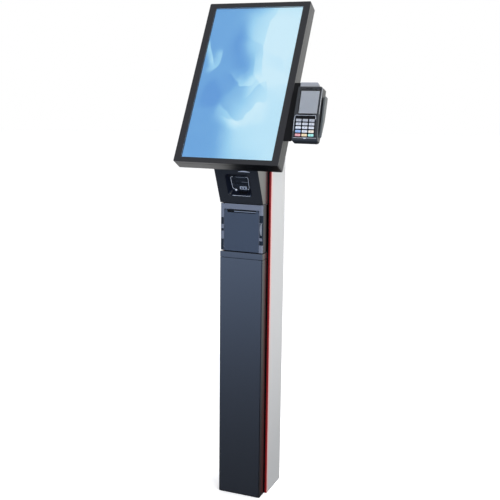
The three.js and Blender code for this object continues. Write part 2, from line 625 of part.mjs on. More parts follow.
// ================================================================ card payment terminal
const term = new THREE.Group();
term.position.set(...TERM_ORIGIN);
term.rotation.x = -rad(TERM_TILT);
kiosk.add(term);
{
  add(term, "tilt_pin", cylX(4, 187, 214.5, 52, 0, 20).translate([-TERM_ORIGIN[0], 0, 0]).add(cylX(7, 185.6, 190, 52, 0, 20).translate([-TERM_ORIGIN[0], 0, 0])), "steel");

  // cradle: plate behind the casing, a hood above it, a foot, and the ear on the pin
  let cr = prismY(
    [
      [-34, -50],
      [28, -50],
      [28, 76],
      [24, 82.5],
      [11, 104],
      [-42.4, 104],
      [-42.4, 87],
      [-34, 84],
    ],
    38.8,
    43,
  );
  cr = cr.add(
    prismY(
      [
        [-42.4, 87],
        [21.3, 87],
        [11, 104],
        [-42.4, 104],
      ],
      30,
      39,
    ),
  );
  cr = cr.add(
    prismX(
      [
        [35.7, -36],
        [35.3, -50],
        [39.2, -50],
        [39.2, -36],
      ],
      -22,
      22,
    ),
  );
  cr = cr.add(
    prismX(
      [
        [42, -16],
        [54, -9],
        [59, -4],
        [59, 4],
        [54, 9],
        [42, 16],
      ],
      -34,
      -28.5,
    ),
  );
  cr = cr.subtract(cylX(4 + GAP, -40, -20, TERM_PIVOT_Y, 0, 20));
  add(term, "terminal_cradle", cr, "grey");

  const outline = [
    [-34, -86.5],
    [35, -86.5],
    [40, -80],
    [37, -66],
    [37, 79.5],
    [33.5, 83.5],
    [-34, 83.5],
    [-37.5, 80],
    [-41.5, -74],
    [-40.5, -80],
  ];
  const bulk = prismY(outline, -30, 60);
  const { y: ry, z: rz } = TERM_BREAK;
  const front = prismX(
    [
      [TERM_PART_Y, -87],
      [6.5, -87],
      [1.2, -80],
      [0, -76],
      [ry, rz],
      [-0.1, 82.2],
      [1.8, 84],
      [TERM_PART_Y, 84],
    ],
    -60,
    60,
  );
  const inner = [
    [-31, -82],
    [33, -82],
    [35, -77],
    [34.8, 80.6],
    [-34.6, 80.6],
    [-38, -72],
  ];
  const screen = new THREE.Group();
  const keypad = new THREE.Group();
  const sAng = -Math.atan2(-ry, 82.2 - rz - 0.1);
  const kAng = Math.atan2(-ry, 73);
  for (const [g, a] of [
    [screen, sAng],
    [keypad, kAng],
  ]) {
    g.position.set(0, ry, rz);
    g.rotation.x = a;
    term.add(g);
  }
  const inFrame = (a, s) =>
    s.transform(new THREE.Matrix4().makeRotationX(a).setPosition(0, ry, rz).toArray());

  let fc = bulk.intersect(front);
  fc = fc.subtract(
    prismY(inner, -30, 60).intersect(
      prismX(
        [
          [20, -81],
          [8, -81],
          [3.2, -76],
          [ry + 2.2, rz],
          [2.4, 80],
          [20, 80],
        ],
        -60,
        60,
      ),
    ),
  );
  fc = fc.subtract(inFrame(sAng, prismY(rounded(-29.2, 32.2, 3.2, 80.6, 2.4, 3), -5, 12)));
  fc = fc.subtract(inFrame(kAng, prismY(rounded(-34.4, 28.4, -66.4, -2.4, 3.2, 3), -5, 12)));
  add(term, "terminal_front_casing", fc, "black");
  add(screen, "terminal_lens", prismY(rounded(-28.8, 31.8, 3.6, 80.2, 2.2, 3), 0.3, 1.9), "black_gloss");
  add(screen, "terminal_lcd", box(-27, 30, 2.3, 6.5, 4.5, 74), "lcd");

  // keypad surround with its fifteen openings, the keys and the board under them
  let sr = prismY(rounded(-34, 28, -66, -2.8, 3, 3), -0.8, 2.4);
  const cols = [-1, 0, 1].map((c) => KEYPAD_X + c * KEY_PITCH_X);
  const rows = [0, 1, 2, 3, 4].map((r) => -16.8 - r * KEY_PITCH_Z);
  for (const x of cols)
    for (const z of rows)
      sr = sr.subtract(box(x - KEY_W / 2 - 0.35, x + KEY_W / 2 + 0.35, -3, 5, z - KEY_H / 2 - 0.35, z + KEY_H / 2 + 0.35));
  add(keypad, "keypad_surround", sr, "dark_sheet");
  const keys = [
    ["key_1", "key_2", "key_3"],
    ["key_4", "key_5", "key_6"],
    ["key_7", "key_8", "key_9"],
    ["key_star", "key_0", "key_hash"],
    ["key_cancel", "key_clear", "key_enter"],
  ];
  const keyLook = { key_star: "key_blue", key_hash: "key_peach", key_cancel: "key_red", key_clear: "key_amber", key_enter: "key_green" };
  rows.forEach((z, r) =>
    cols.forEach((x, c) => {
      const cap = loftY(
        rounded(x - KEY_W / 2 + 0.5, x + KEY_W / 2 - 0.5, z - KEY_H / 2 + 0.5, z + KEY_H / 2 - 0.5, 1.2, 2),
        -2.4,
        rounded(x - KEY_W / 2, x + KEY_W / 2, z - KEY_H / 2, z + KEY_H / 2, 1.2, 2),
        -1.2,
      ).add(prismY(rounded(x - KEY_W / 2, x + KEY_W / 2, z - KEY_H / 2, z + KEY_H / 2, 1.2, 2), -1.3, 3));
      const foot = box(x - KEY_W / 2 - 0.9, x + KEY_W / 2 + 0.9, 2.8, 3.8, z - KEY_H / 2 - 0.7, z + KEY_H / 2 + 0.7);
      const name = keys[r][c];
      add(keypad, name, cap.add(foot), keyLook[name] || "key");
    }),
  );
  add(keypad, "terminal_board", box(-32, 28, 5.6, 7.2, -64, -4), "board");

  // rear casing
  const back = [
    [TERM_PART_Y + GAP, -87],
    [12, -86.8],
    [16, -84.5],
    [22, -76],
    [30, -68],
    [34.5, -60],
    [37.6, 50],
    [37.6, 78],
    [34, 84],
    [TERM_PART_Y + GAP, 84],
  ];
  let rc = bulk.intersect(prismX(back, -60, 60));
  rc = rc.subtract(
    prismY(inner, -30, 60).intersect(
      prismX(
        [
          [0, -82],
          [15.2, -82],
          [20.6, -74.6],
          [28.4, -66.9],
          [32.3, -58.9],
          [35.2, 49.6],
          [35.2, 80],
          [0, 80],
        ],
        -60,
        60,
      ),
    ),
  );
  rc = rc.subtract(box(-28, 28, 12.2, 13.8, -90, -78)); // card slot
  add(term, "terminal_rear_casing", rc, "black");
  add(term, "chip_reader", box(-29, 27, 11, 15, -79.6, -46).subtract(box(-27.5, 25.5, 12.3, 13.7, -90, -50)), "steel");

  // swipe reader along the right side: a wing that leaves a slot beside the casing
  const wing = [
    [10.5, -66],
    [12.5, -66],
    [17.5, -50],
    [28.5, -14],
    [33.5, 42],
    [34, 54],
    [31, 57.5],
    [13, 57.5],
    [9.8, 54],
    [9, -50],
    [9, -64],
  ];
  const floor = [
    [10.5, -66],
    [12.5, -66],
    [17.5, -50],
    [28.5, -14],
    [33.5, 42],
    [34, 54],
    [33, 56],
    [24.5, 56],
    [20, -14],
    [12, -50],
    [9, -60],
    [9, -64],
  ];
  const wg = prismX(wing, 40.9, 46).add(prismX(floor, 37.4, 41.2));
  add(term, "swipe_reader", wg, "dark_sheet");
}

export default kiosk;
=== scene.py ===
# Self-service kiosk with a card payment terminal: looks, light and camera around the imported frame.
import bpy, bmesh, math
from mathutils import Matrix, Vector


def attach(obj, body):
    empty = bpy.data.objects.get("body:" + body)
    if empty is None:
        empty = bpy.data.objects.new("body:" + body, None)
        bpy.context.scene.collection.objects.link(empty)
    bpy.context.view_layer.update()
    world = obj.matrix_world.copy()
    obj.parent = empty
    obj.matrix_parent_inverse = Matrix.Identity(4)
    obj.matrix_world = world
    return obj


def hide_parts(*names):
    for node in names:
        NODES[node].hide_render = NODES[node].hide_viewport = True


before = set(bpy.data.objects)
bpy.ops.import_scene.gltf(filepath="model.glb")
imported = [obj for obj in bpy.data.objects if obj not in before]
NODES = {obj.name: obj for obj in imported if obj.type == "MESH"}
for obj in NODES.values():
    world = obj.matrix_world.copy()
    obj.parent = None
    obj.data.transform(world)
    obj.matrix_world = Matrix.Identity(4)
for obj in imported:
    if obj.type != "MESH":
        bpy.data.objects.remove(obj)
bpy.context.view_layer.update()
scene = bpy.context.scene
rad = math.radians


# ------------------------------------------------------------------ frames, in millimetres
def frame_of(pos, tilt):
    return Matrix.Scale(0.001, 4) @ Matrix.Translation(pos) @ Matrix.Rotation(rad(tilt), 4, "X")


ROW = frame_of((0, 0, 0), 0)
HEAD = frame_of((0, -88.3, 1382.5), -29.1)
PANEL = frame_of((0, -86, 997.7), 24.37)
TERM = frame_of((240.1, -164.3, 1287.2), -15.7)
BREAK = Matrix.Translation((0, -6.5, -3))
SCREEN = TERM @ BREAK @ Matrix.Rotation(-math.atan2(6.5, 85.1), 4, "X")
KEYPAD = TERM @ BREAK @ Matrix.Rotation(math.atan2(6.5, 73), 4, "X")

# ------------------------------------------------------------------ materials
MATS = {}


def srgb(r, g, b):
    f = lambda c: c / 12.92 if c <= 0.04045 else ((c + 0.055) / 1.055) ** 2.4
    return (f(r / 255), f(g / 255), f(b / 255))


def material(name, color, rough=0.5, metal=0.0, spec=0.5, coat=0.0, coat_rough=0.1, grain=None, tone=0.03,
             rough_var=0.06, tone_scale=14.0, bump2=None, emission=None, estrength=1.0, transmission=0.0, ior=1.5, brushed=None):
    """A node material: tone variation, roughness variation and a fine bump, all in object space (metres)."""
    m = bpy.data.materials.new(name)
    m.use_nodes = True
    nt = m.node_tree
    L = nt.links.new
    b = nt.nodes["Principled BSDF"]
    col = (*color, 1.0)
    b.inputs["Base Color"].default_value = col
    b.inputs["Roughness"].default_value = rough
    b.inputs["Metallic"].default_value = metal
    b.inputs["Specular IOR Level"].default_value = spec
    b.inputs["IOR"].default_value = ior
    b.inputs["Coat Weight"].default_value = coat
    b.inputs["Coat Roughness"].default_value = coat_rough
    b.inputs["Transmission Weight"].default_value = transmission
    if emission:
        b.inputs["Emission Color"].default_value = (*emission, 1)
        b.inputs["Emission Strength"].default_value = estrength
    tc = nt.nodes.new("ShaderNodeTexCoord")
    src = tc.outputs["Object"]
    if brushed:
        mp = nt.nodes.new("ShaderNodeMapping")
        mp.inputs["Scale"].default_value = brushed
        L(src, mp.inputs["Vector"])
        src = mp.outputs["Vector"]
    n1 = nt.nodes.new("ShaderNodeTexNoise")
    n1.inputs["Scale"].default_value = tone_scale
    n1.inputs["Detail"].default_value = 4
    L(tc.outputs["Object"], n1.inputs["Vector"])
    if tone:
        r = nt.nodes.new("ShaderNodeMapRange")
        r.inputs["To Min"].default_value = 1 - tone
        r.inputs["To Max"].default_value = 1 + tone
        L(n1.outputs["Fac"], r.inputs["Value"])
        mul = nt.nodes.new("ShaderNodeVectorMath")
        mul.operation = "SCALE"
        mul.inputs[0].default_value = color
        L(r.outputs["Result"], mul.inputs["Scale"])
        L(mul.outputs["Vector"], b.inputs["Base Color"])
    g = None
    if grain:
        scale, strength = grain
        g = nt.nodes.new("ShaderNodeTexNoise")
        g.inputs["Scale"].default_value = scale
        g.inputs["Detail"].default_value = 3
        L(src, g.inputs["Vector"])
        bp = nt.nodes.new("ShaderNodeBump")
        bp.inputs["Strength"].default_value = strength
        bp.inputs["Distance"].default_value = 0.0001
        L(g.outputs["Fac"], bp.inputs["Height"])
        if bump2:
            v = nt.nodes.new("ShaderNodeTexNoise")
            v.inputs["Scale"].default_value = bump2[0]
            v.inputs["Detail"].default_value = 1
            L(tc.outputs["Object"], v.inputs["Vector"])
            bq = nt.nodes.new("ShaderNodeBump")
            bq.inputs["Strength"].default_value = bump2[1]
            bq.inputs["Distance"].default_value = 0.0006
            L(v.outputs["Fac"], bq.inputs["Height"])
            L(bq.outputs["Normal"], bp.inputs["Normal"])
        L(bp.outputs["Normal"], b.inputs["Normal"])
    if rough_var:
        r2 = nt.nodes.new("ShaderNodeMapRange")
        r2.inputs["To Min"].default_value = max(0.02, rough - rough_var)
        r2.inputs["To Max"].default_value = min(1, rough + rough_var)
        L((g or n1).outputs["Fac"], r2.inputs["Value"])
        L(r2.outputs["Result"], b.inputs["Roughness"])
    MATS[name] = m
    return m


powder = dict(grain=(1500, 0.22), bump2=(260, 0.03), tone=0.04, rough_var=0.05)
moulded = dict(grain=(3600, 0.3), tone=0.035, rough_var=0.06)
satin = dict(coat=1.0, coat_rough=0.27, grain=(1500, 0.16), bump2=(260, 0.02), tone=0.05, rough_var=0.05)
material("coat_anthracite", (0.0124, 0.0122, 0.0124), 0.29, spec=0.5, **satin)
material("coat_dark", (0.0095, 0.0098, 0.0095), 0.32, spec=0.5, **satin)
material("coat_light", (0.520, 0.506, 0.480), 0.5, spec=0.4, grain=(1100, 0.25), bump2=(220, 0.03), tone=0.02)
material("coat_red", (0.34, 0.013, 0.010), 0.38, spec=0.35, **powder)
material("coat_bezel", (0.022, 0.0215, 0.023), 0.36, spec=0.5, **powder)
material("bezel_underside_painted_shade", (0.022, 0.0215, 0.023), 0.36, spec=0.5, **powder)
material("coat_black", (0.0035, 0.0035, 0.004), 0.5, spec=0.2, **powder)
material("recess_painted_shade", (0.006, 0.013, 0.022), 0.5, spec=0.3, **moulded)
material("base_steel", (0.022, 0.022, 0.024), 0.6, spec=0.3, **powder)
material("shell_printer", (0.155, 0.162, 0.188), 0.36, spec=0.5, **moulded)
material("door_printer", (0.024, 0.034, 0.052), 0.36, spec=0.6, **moulded)
material("plastic_grey", (0.26, 0.265, 0.27), 0.42, spec=0.5, **moulded)
material("plastic_hood", (0.34, 0.34, 0.345), 0.45, spec=0.45, **moulded)
material("plastic_black", (0.011, 0.012, 0.013), 0.38, spec=0.5, **moulded)
material("plastic_charcoal", (0.029, 0.031, 0.032), 0.42, spec=0.5, **moulded)
material("plastic_wing", (0.10, 0.107, 0.105), 0.45, spec=0.5, **moulded)
material("gloss_black", (0.006, 0.006, 0.008), 0.12, spec=0.6, coat=0.5, coat_rough=0.05, grain=(60, 0.02), tone=0.02, rough_var=0.02)
material("trim_silver", (0.56, 0.57, 0.60), 0.24, metal=0.85, grain=(2600, 0.08), tone=0.03, rough_var=0.05)
material("steel", (0.56, 0.565, 0.58), 0.3, metal=1.0, grain=(700, 0.12), brushed=(0.03, 1, 1), tone=0.05, rough_var=0.1)
material("steel_dark", (0.22, 0.225, 0.235), 0.36, metal=1.0, grain=(900, 0.1), tone=0.06, rough_var=0.08)
material("alu", (0.50, 0.51, 0.53), 0.42, metal=0.95, grain=(900, 0.14), brushed=(1, 1, 0.04), tone=0.05, rough_var=0.08)
material("rubber", (0.020, 0.020, 0.021), 0.85, spec=0.3, grain=(2200, 0.35), tone=0.06)
material("brass_gold", (0.72, 0.53, 0.24), 0.3, metal=1.0, grain=(900, 0.08), tone=0.04)
material("board", (0.012, 0.09, 0.04), 0.45, spec=0.5, coat=0.3, grain=(900, 0.2), tone=0.15, tone_scale=160)
material("funnel_navy", (0.0022, 0.0042, 0.011), 0.42, spec=0.22, **moulded)
material("matte_black", (0.005, 0.0055, 0.006), 0.55, spec=0.18, **moulded)
material("bead_grey", (0.60, 0.61, 0.63), 0.33, metal=0.25, spec=0.5, grain=(2600, 0.08), tone=0.03, rough_var=0.04)
material("rail_grey", (0.40, 0.405, 0.41), 0.4, spec=0.5, **moulded)
material("seal_black", (0.006, 0.006, 0.0065), 0.7, spec=0.2, grain=(2200, 0.3), tone=0.05)
material("ink", (0.03, 0.032, 0.036), 0.6, tone=0, rough_var=0, grain=(3000, 0.05))
material("ink_white", (0.8, 0.8, 0.8), 0.5, tone=0, rough_var=0, grain=(3000, 0.05))
material("led_white", (0.62, 0.64, 0.68), 0.25, spec=0.6, grain=(900, 0.03), emission=(0.9, 0.93, 1.0), estrength=0.16)
# painted light: the scanner's sensor plate glows faintly though it is no lamp
material("sensor_plate", (0.30, 0.33, 0.38), 0.4, spec=0.5, emission=(0.75, 0.82, 0.95), estrength=0.10, **moulded)
# painted highlight: a faint emission makes these bright trim parts glow
material("guide_bright", (0.62, 0.64, 0.67), 0.35, metal=0.3, spec=0.6, emission=(0.85, 0.9, 1.0), estrength=0.16, grain=(2600, 0.08), tone=0.03)
material("lens_dark", (0.01, 0.008, 0.02), 0.05, spec=0.8, coat=1.0, coat_rough=0.03, grain=(200, 0.01), tone=0.02)
silicone = dict(grain=(2600, 0.25), tone=0.03, rough_var=0.05, spec=0.45)
material("key_grey", (0.70, 0.70, 0.71), 0.42, **silicone)
material("key_blue", (0.34, 0.49, 0.76), 0.42, **silicone)
material("key_peach", (0.95, 0.80, 0.62), 0.42, **silicone)
material("key_red", (0.93, 0.42, 0.41), 0.42, **silicone)
material("key_amber", (0.95, 0.72, 0.42), 0.42, **silicone)
material("key_green", (0.42, 0.85, 0.72), 0.42, **silicone)


def paint_red_glow_and_floor_shade():
    """Painted reflected light: a narrow warm band on the light column behind its front corner, standing in for the red
    strip shining onto it; and painted shade towards the floor.
    """
    nt = MATS["coat_light"].node_tree
    b = nt.nodes["Principled BSDF"]
    src = b.inputs["Base Color"].links[0].from_socket
    tc = nt.nodes.new("ShaderNodeTexCoord")
    sp = nt.nodes.new("ShaderNodeSeparateXYZ")
    nt.links.new(tc.outputs["Object"], sp.inputs["Vector"])
    mr = nt.nodes.new("ShaderNodeMapRange")
    mr.interpolation_type = "SMOOTHSTEP"
    mr.inputs["From Min"].default_value = -0.0400
    mr.inputs["From Max"].default_value = -0.0230
    mr.inputs["To Min"].default_value = 1.0
    mr.inputs["To Max"].default_value = 0.0
    nt.links.new(sp.outputs["Y"], mr.inputs["Value"])
    mx = nt.nodes.new("ShaderNodeMix")
    mx.data_type = "RGBA"
    nt.links.new(mr.outputs["Result"], mx.inputs[0])
    nt.links.new(src, mx.inputs[6])
    mx.inputs[7].default_value = (0.74, 0.42, 0.37, 1)
    # painted shade: slightly darker towards the floor, standing in for the light falling off lower down
    lo = nt.nodes.new("ShaderNodeMapRange")
    lo.interpolation_type = "SMOOTHSTEP"
    lo.inputs["From Min"].default_value = 0.0
    lo.inputs["From Max"].default_value = 0.62
    lo.inputs["To Min"].default_value = 0.80
    lo.inputs["To Max"].default_value = 1.0
    nt.links.new(sp.outputs["Z"], lo.inputs["Value"])
    sc = nt.nodes.new("ShaderNodeVectorMath")
    sc.operation = "SCALE"
    nt.links.new(mx.outputs[2], sc.inputs[0])
    nt.links.new(lo.outputs["Result"], sc.inputs["Scale"])
    nt.links.new(sc.outputs["Vector"], b.inputs["Base Color"])


paint_red_glow_and_floor_shade()


def key_shading():
    """Painted shade: the upper rows are darker, standing in for the shade of the ridge: a slow change along the keypad.
    """
    nt = MATS["key_grey"].node_tree
    b = nt.nodes["Principled BSDF"]
    src = b.inputs["Base Color"].links[0].from_socket
    tc = nt.nodes.new("ShaderNodeTexCoord")
    sp = nt.nodes.new("ShaderNodeSeparateXYZ")
    nt.links.new(tc.outputs["Object"], sp.inputs["Vector"])
    mr = nt.nodes.new("ShaderNodeMapRange")
    mr.interpolation_type = "SMOOTHSTEP"
    mr.inputs["From Min"].default_value = (KEYPAD @ Vector((0, 0, -38))).z
    mr.inputs["From Max"].default_value = (KEYPAD @ Vector((0, 0, -14))).z
    mr.inputs["To Min"].default_value = 1.04
    mr.inputs["To Max"].default_value = 0.66
    nt.links.new(sp.outputs["Z"], mr.inputs["Value"])
    sc = nt.nodes.new("ShaderNodeVectorMath")
    sc.operation = "SCALE"
    nt.links.new(src, sc.inputs[0])
    nt.links.new(mr.outputs["Result"], sc.inputs["Scale"])
    nt.links.new(sc.outputs["Vector"], b.inputs["Base Color"])


def paint_shade_along_axis(name, y0, y1, axis="Y", least=0.0):
    """Painted shade along an axis: the colour, specular and coat fade towards least (black by default): the shade on
    the sides' rear edge in the gap before the red strip, and the painted shade and reflection under the display.
    """
    nt = MATS[name].node_tree
    b = nt.nodes["Principled BSDF"]
    src = b.inputs["Base Color"].links[0].from_socket
    tc = nt.nodes.new("ShaderNodeTexCoord")
    sp = nt.nodes.new("ShaderNodeSeparateXYZ")
    nt.links.new(tc.outputs["Object"], sp.inputs["Vector"])
    mr = nt.nodes.new("ShaderNodeMapRange")
    mr.interpolation_type = "SMOOTHSTEP"
    mr.inputs["From Min"].default_value = y0
    mr.inputs["From Max"].default_value = y1
    mr.inputs["To Min"].default_value = 1.0
    mr.inputs["To Max"].default_value = least
    nt.links.new(sp.outputs[axis], mr.inputs["Value"])
    sc = nt.nodes.new("ShaderNodeVectorMath")
    sc.operation = "SCALE"
    nt.links.new(src, sc.inputs[0])
    nt.links.new(mr.outputs["Result"], sc.inputs["Scale"])
    nt.links.new(sc.outputs["Vector"], b.inputs["Base Color"])
    for key, top in (("Specular IOR Level", b.inputs["Specular IOR Level"].default_value), ("Coat Weight", b.inputs["Coat Weight"].default_value)):
        q = nt.nodes.new("ShaderNodeMath")
        q.operation = "MULTIPLY"
        q.inputs[1].default_value = top
        nt.links.new(mr.outputs["Result"], q.inputs[0])
        nt.links.new(q.outputs[0], b.inputs[key])


key_shading()
# painted shade: the dark coat on the column's sides fades to black towards their rear edge
paint_shade_along_axis("coat_dark", -0.056, -0.042)
# painted shade and painted reflection: the display's underside darkens to a tenth towards +X, standing in for the dark
# column reflected there
paint_shade_along_axis("bezel_underside_painted_shade", -0.095, 0.06, "X", 0.10)
# painted shade: the printer's side faces fade to black towards their rear edge
material("printer_side_painted_shade", (0.026, 0.028, 0.027), 0.36, spec=0.45, **moulded)
paint_shade_along_axis("printer_side_painted_shade", -0.068, -0.050)


def glass_material(name, tint, rough, ior=1.46):
    m = material(name, tint, rough, spec=0.5, transmission=1.0, ior=ior, tone=0, rough_var=0, grain=(40, 0.004))
    return m


glass_material("glass_cover", (0.97, 0.985, 1.0), 0.06)
glass_material("glass_lens", (0.93, 0.95, 0.96), 0.04)
glass_material("glass_smoke", (0.62, 0.66, 0.70), 0.05)


def paper_material():
    m = material("paper", (0.86, 0.85, 0.81), 0.85, spec=0.15, grain=(2600, 0.3), tone=0.02)
    # wound layers, seen on the roll's ends
    nt = m.node_tree
    b = nt.nodes["Principled BSDF"]
    tc = nt.nodes.new("ShaderNodeTexCoord")
    mp = nt.nodes.new("ShaderNodeMapping")
    mp.inputs["Location"].default_value = (0, 0.022, -0.897)
    mp.inputs["Scale"].default_value = (0, 1, 1)
    w = nt.nodes.new("ShaderNodeTexWave")
    w.wave_type = "RINGS"
    w.rings_direction = "X"
    w.inputs["Scale"].default_value = 480
    w.inputs["Distortion"].default_value = 0.3
    nt.links.new(tc.outputs["Object"], mp.inputs["Vector"])
    nt.links.new(mp.outputs["Vector"], w.inputs["Vector"])
    r = nt.nodes.new("ShaderNodeMapRange")
    r.inputs["To Min"].default_value = 0.93
    r.inputs["To Max"].default_value = 1.0
    nt.links.new(w.outputs["Fac"], r.inputs["Value"])
    s = nt.nodes.new("ShaderNodeVectorMath")
    s.operation = "SCALE"
    s.inputs[0].default_value = (0.86, 0.85, 0.81)
    nt.links.new(r.outputs["Result"], s.inputs["Scale"])
    nt.links.new(s.outputs["Vector"], b.inputs["Base Color"])
    return m


paper_material()


def picture_material():
    """Backlit picture: soft folded sheets of pale blue, from ramps bent by noise, in the panel's own UV plane (metres)."""
    m = bpy.data.materials.new("picture")
    m.use_nodes = True
    nt = m.node_tree
    L = nt.links.new
    b = nt.nodes["Principled BSDF"]
    b.inputs["Base Color"].default_value = (0.02, 0.03, 0.04, 1)
    b.inputs["Roughness"].default_value = 0.35
    b.inputs["Specular IOR Level"].default_value = 0.2
    uv = nt.nodes.new("ShaderNodeUVMap")
    uv.uv_map = "plane"
    sep = nt.nodes.new("ShaderNodeSeparateXYZ")
    L(uv.outputs["UV"], sep.inputs["Vector"])

    def val(x):
        n = nt.nodes.new("ShaderNodeValue")
        n.outputs[0].default_value = x
        return n.outputs[0]

    def op(o, a, c=None, d=None, clamp=False):
        n = nt.nodes.new("ShaderNodeMath")
        n.operation = o
        n.use_clamp = clamp
        for i, x in enumerate((a, c, d)):
            if x is None:
                continue
            if isinstance(x, (int, float)):
                n.inputs[i].default_value = x
            else:
                L(x, n.inputs[i])
        return n.outputs[0]

    def smooth(x, lo, hi):
        n = nt.nodes.new("ShaderNodeMapRange")
        n.interpolation_type = "SMOOTHERSTEP"
        n.inputs["From Min"].default_value = lo
        n.inputs["From Max"].default_value = hi
        L(x, n.inputs["Value"])
        return n.outputs["Result"]

    U, V = sep.outputs["X"], sep.outputs["Y"]  # -0.5..0.5 across, -0.89..0.89 up (in panel widths)

    def noise(scale, seed):
        n = nt.nodes.new("ShaderNodeTexNoise")
        n.noise_dimensions = "2D"
        n.inputs["Scale"].default_value = scale
        n.inputs["Detail"].default_value = 1.5
        n.inputs["Roughness"].default_value = 0.45
        mp = nt.nodes.new("ShaderNodeMapping")
        mp.inputs["Location"].default_value = (seed, seed * 0.7, 0)
        L(uv.outputs["UV"], mp.inputs["Vector"])
        L(mp.outputs["Vector"], n.inputs["Vector"])
        return op("SUBTRACT", n.outputs["Fac"], 0.5)

    w1, w2, w3 = noise(1.5, 3.1), noise(2.3, 8.4), noise(5.0, 1.7)

    def blob(cx, cy, ax, ay, ang, inner, amount, warp=0.5):
        """A soft-edged oval patch: ax, ay its half sizes, inner where it starts to fade."""
        c, q = math.cos(rad(ang)), math.sin(rad(ang))
        du = op("ADD", op("SUBTRACT", U, cx), op("MULTIPLY", w2, warp * 0.5))
        dv = op("ADD", op("SUBTRACT", V, cy), op("MULTIPLY", w1, warp))
        x = op("DIVIDE", op("ADD", op("MULTIPLY", du, c), op("MULTIPLY", dv, q)), ax)
        y = op("DIVIDE", op("SUBTRACT", op("MULTIPLY", dv, c), op("MULTIPLY", du, q)), ay)
        d = op("SQRT", op("ADD", op("MULTIPLY", x, x), op("MULTIPLY", y, y)))
        return op("MULTIPLY", op("SUBTRACT", 1.0, smooth(d, inner, 1.0)), amount)

    def fold(ang, off, crisp, fade_len, reach_len, along, amount, warp, wv, wa=0.2):
        """A soft sheet: bright at one crisp bent edge, fading away from it."""
        c, q = math.cos(rad(ang)), math.sin(rad(ang))
        d = op("ADD", op("MULTIPLY", U, c), op("MULTIPLY", V, q))
        t = op("SUBTRACT", op("ADD", op("MULTIPLY", U, -q), op("MULTIPLY", V, c)), along)
        d = op("ADD", op("ADD", op("SUBTRACT", d, off), op("MULTIPLY", op("MULTIPLY", t, t), warp)), op("MULTIPLY", wv, wa))
        edge = smooth(d, -crisp, crisp)
        fade = op("SUBTRACT", 1.0, smooth(d, 0.0, fade_len))
        reach = op("SUBTRACT", 1.0, smooth(op("ABSOLUTE", t), reach_len * 0.3, reach_len))
        return op("MULTIPLY", op("MULTIPLY", op("MULTIPLY", edge, fade), reach), amount)

    tone = op("ADD", op("MULTIPLY", smooth(op("ADD", op("ADD", U, op("MULTIPLY", w1, 0.5)), op("MULTIPLY", V, 0.05)), -0.42, 0.46), 0.66), 0.14)
    for part in (
        fold(8, -0.20, 0.10, 0.34, 0.52, 0.34, -0.22, -0.5, w1, 0.5),
        fold(152, 0.10, 0.05, 0.30, 0.42, 0.16, -0.12, 0.9, w2, 0.3),
        blob(-0.34, -0.16, 0.22, 0.15, 12, 0.30, -0.12),
        blob(-0.02, 0.94, 0.40, 0.16, 0, 0.3, -0.18),
        fold(-8, 0.05, 0.010, 0.80, 0.72, 0.44, 0.24, -0.75, w2, 0.42),
        fold(28, 0.10, 0.012, 0.26, 0.30, 0.02, 0.20, -1.6, w1, 0.30),
        fold(204, 0.27, 0.012, 0.12, 0.22, -0.50, 0.40, 1.2, w1, 0.26),
        fold(176, 0.34, 0.012, 0.13, 0.20, -0.22, 0.34, -1.2, w2, 0.24),
        fold(70, -0.02, 0.012, 0.20, 0.24, 0.04, 0.26, -1.5, w3, 0.20),
        fold(116, -0.16, 0.012, 0.24, 0.32, -0.22, 0.22, 1.3, w2, 0.26),
        fold(-64, 0.40, 0.014, 0.22, 0.34, -0.06, 0.26, 1.1, w3, 0.20),
        fold(232, 0.34, 0.014, 0.20, 0.26, 0.18, 0.20, 0.8, w2, 0.3),
        fold(58, 0.44, 0.02, 0.5, 0.5, 0.05, 0.10, 0.5, w3, 0.12),
    ):
        tone = op("ADD", tone, part)
    tone = op("ADD", tone, op("MULTIPLY", w3, 0.06))
    ramp = nt.nodes.new("ShaderNodeValToRGB")
    e = ramp.color_ramp.elements
    e[0].position, e[0].color = 0.0, (*srgb(88, 150, 214), 1)
    e[1].position, e[1].color = 1.0, (*srgb(206, 238, 250), 1)
    for pos, c in ((0.22, (108, 170, 222)), (0.5, (150, 206, 238)), (0.75, (184, 228, 247))):
        x = e.new(pos)
        x.color = (*srgb(*c), 1)
    L(tone, ramp.inputs["Fac"])
    L(ramp.outputs["Color"], b.inputs["Emission Color"])
    b.inputs["Emission Strength"].default_value = 1.0
    MATS["picture"] = m
    return m


picture_material()


def lcd_material():
    """Small reflective display: grey, with a fine grain."""
    # painted light: a faint grey emission stands in for the light on the reflective display
    m = material("lcd_small_painted_glow", srgb(162, 164, 168), 0.35, spec=0.35, tone=0.02, rough_var=0.03, grain=(1400, 0.04),
                 emission=srgb(156, 157, 160), estrength=0.44)
    return m


lcd_material()


# ------------------------------------------------------------------ mesh helpers
def mesh_object(bm, name, frm, body, mats, smooth=True, weighted=True, replaces=(), sharp=34, recalc=True):
    """Puts a bmesh made in millimetres of the frame frm into the row frame, and rides it on a body."""
    if recalc:
        bmesh.ops.recalc_face_normals(bm, faces=bm.faces)
    for f in bm.faces:
        f.smooth = smooth
    if smooth:
        for e in bm.edges:
            if len(e.link_faces) == 2 and e.calc_face_angle(0) > rad(sharp):
                e.smooth = False
    bm.transform(frm)
    me = bpy.data.meshes.new(name)
    bm.to_mesh(me)
    bm.free()
    for mt in mats if isinstance(mats, (list, tuple)) else [mats]:
        me.materials.append(MATS[mt])
    o = bpy.data.objects.new(name, me)
    scene.collection.objects.link(o)
    if weighted:
        w = o.modifiers.new("normals", "WEIGHTED_NORMAL")
        w.keep_sharp = True
        w.weight = 60
    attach(o, body)
    if replaces:
        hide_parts(*replaces)
    return o


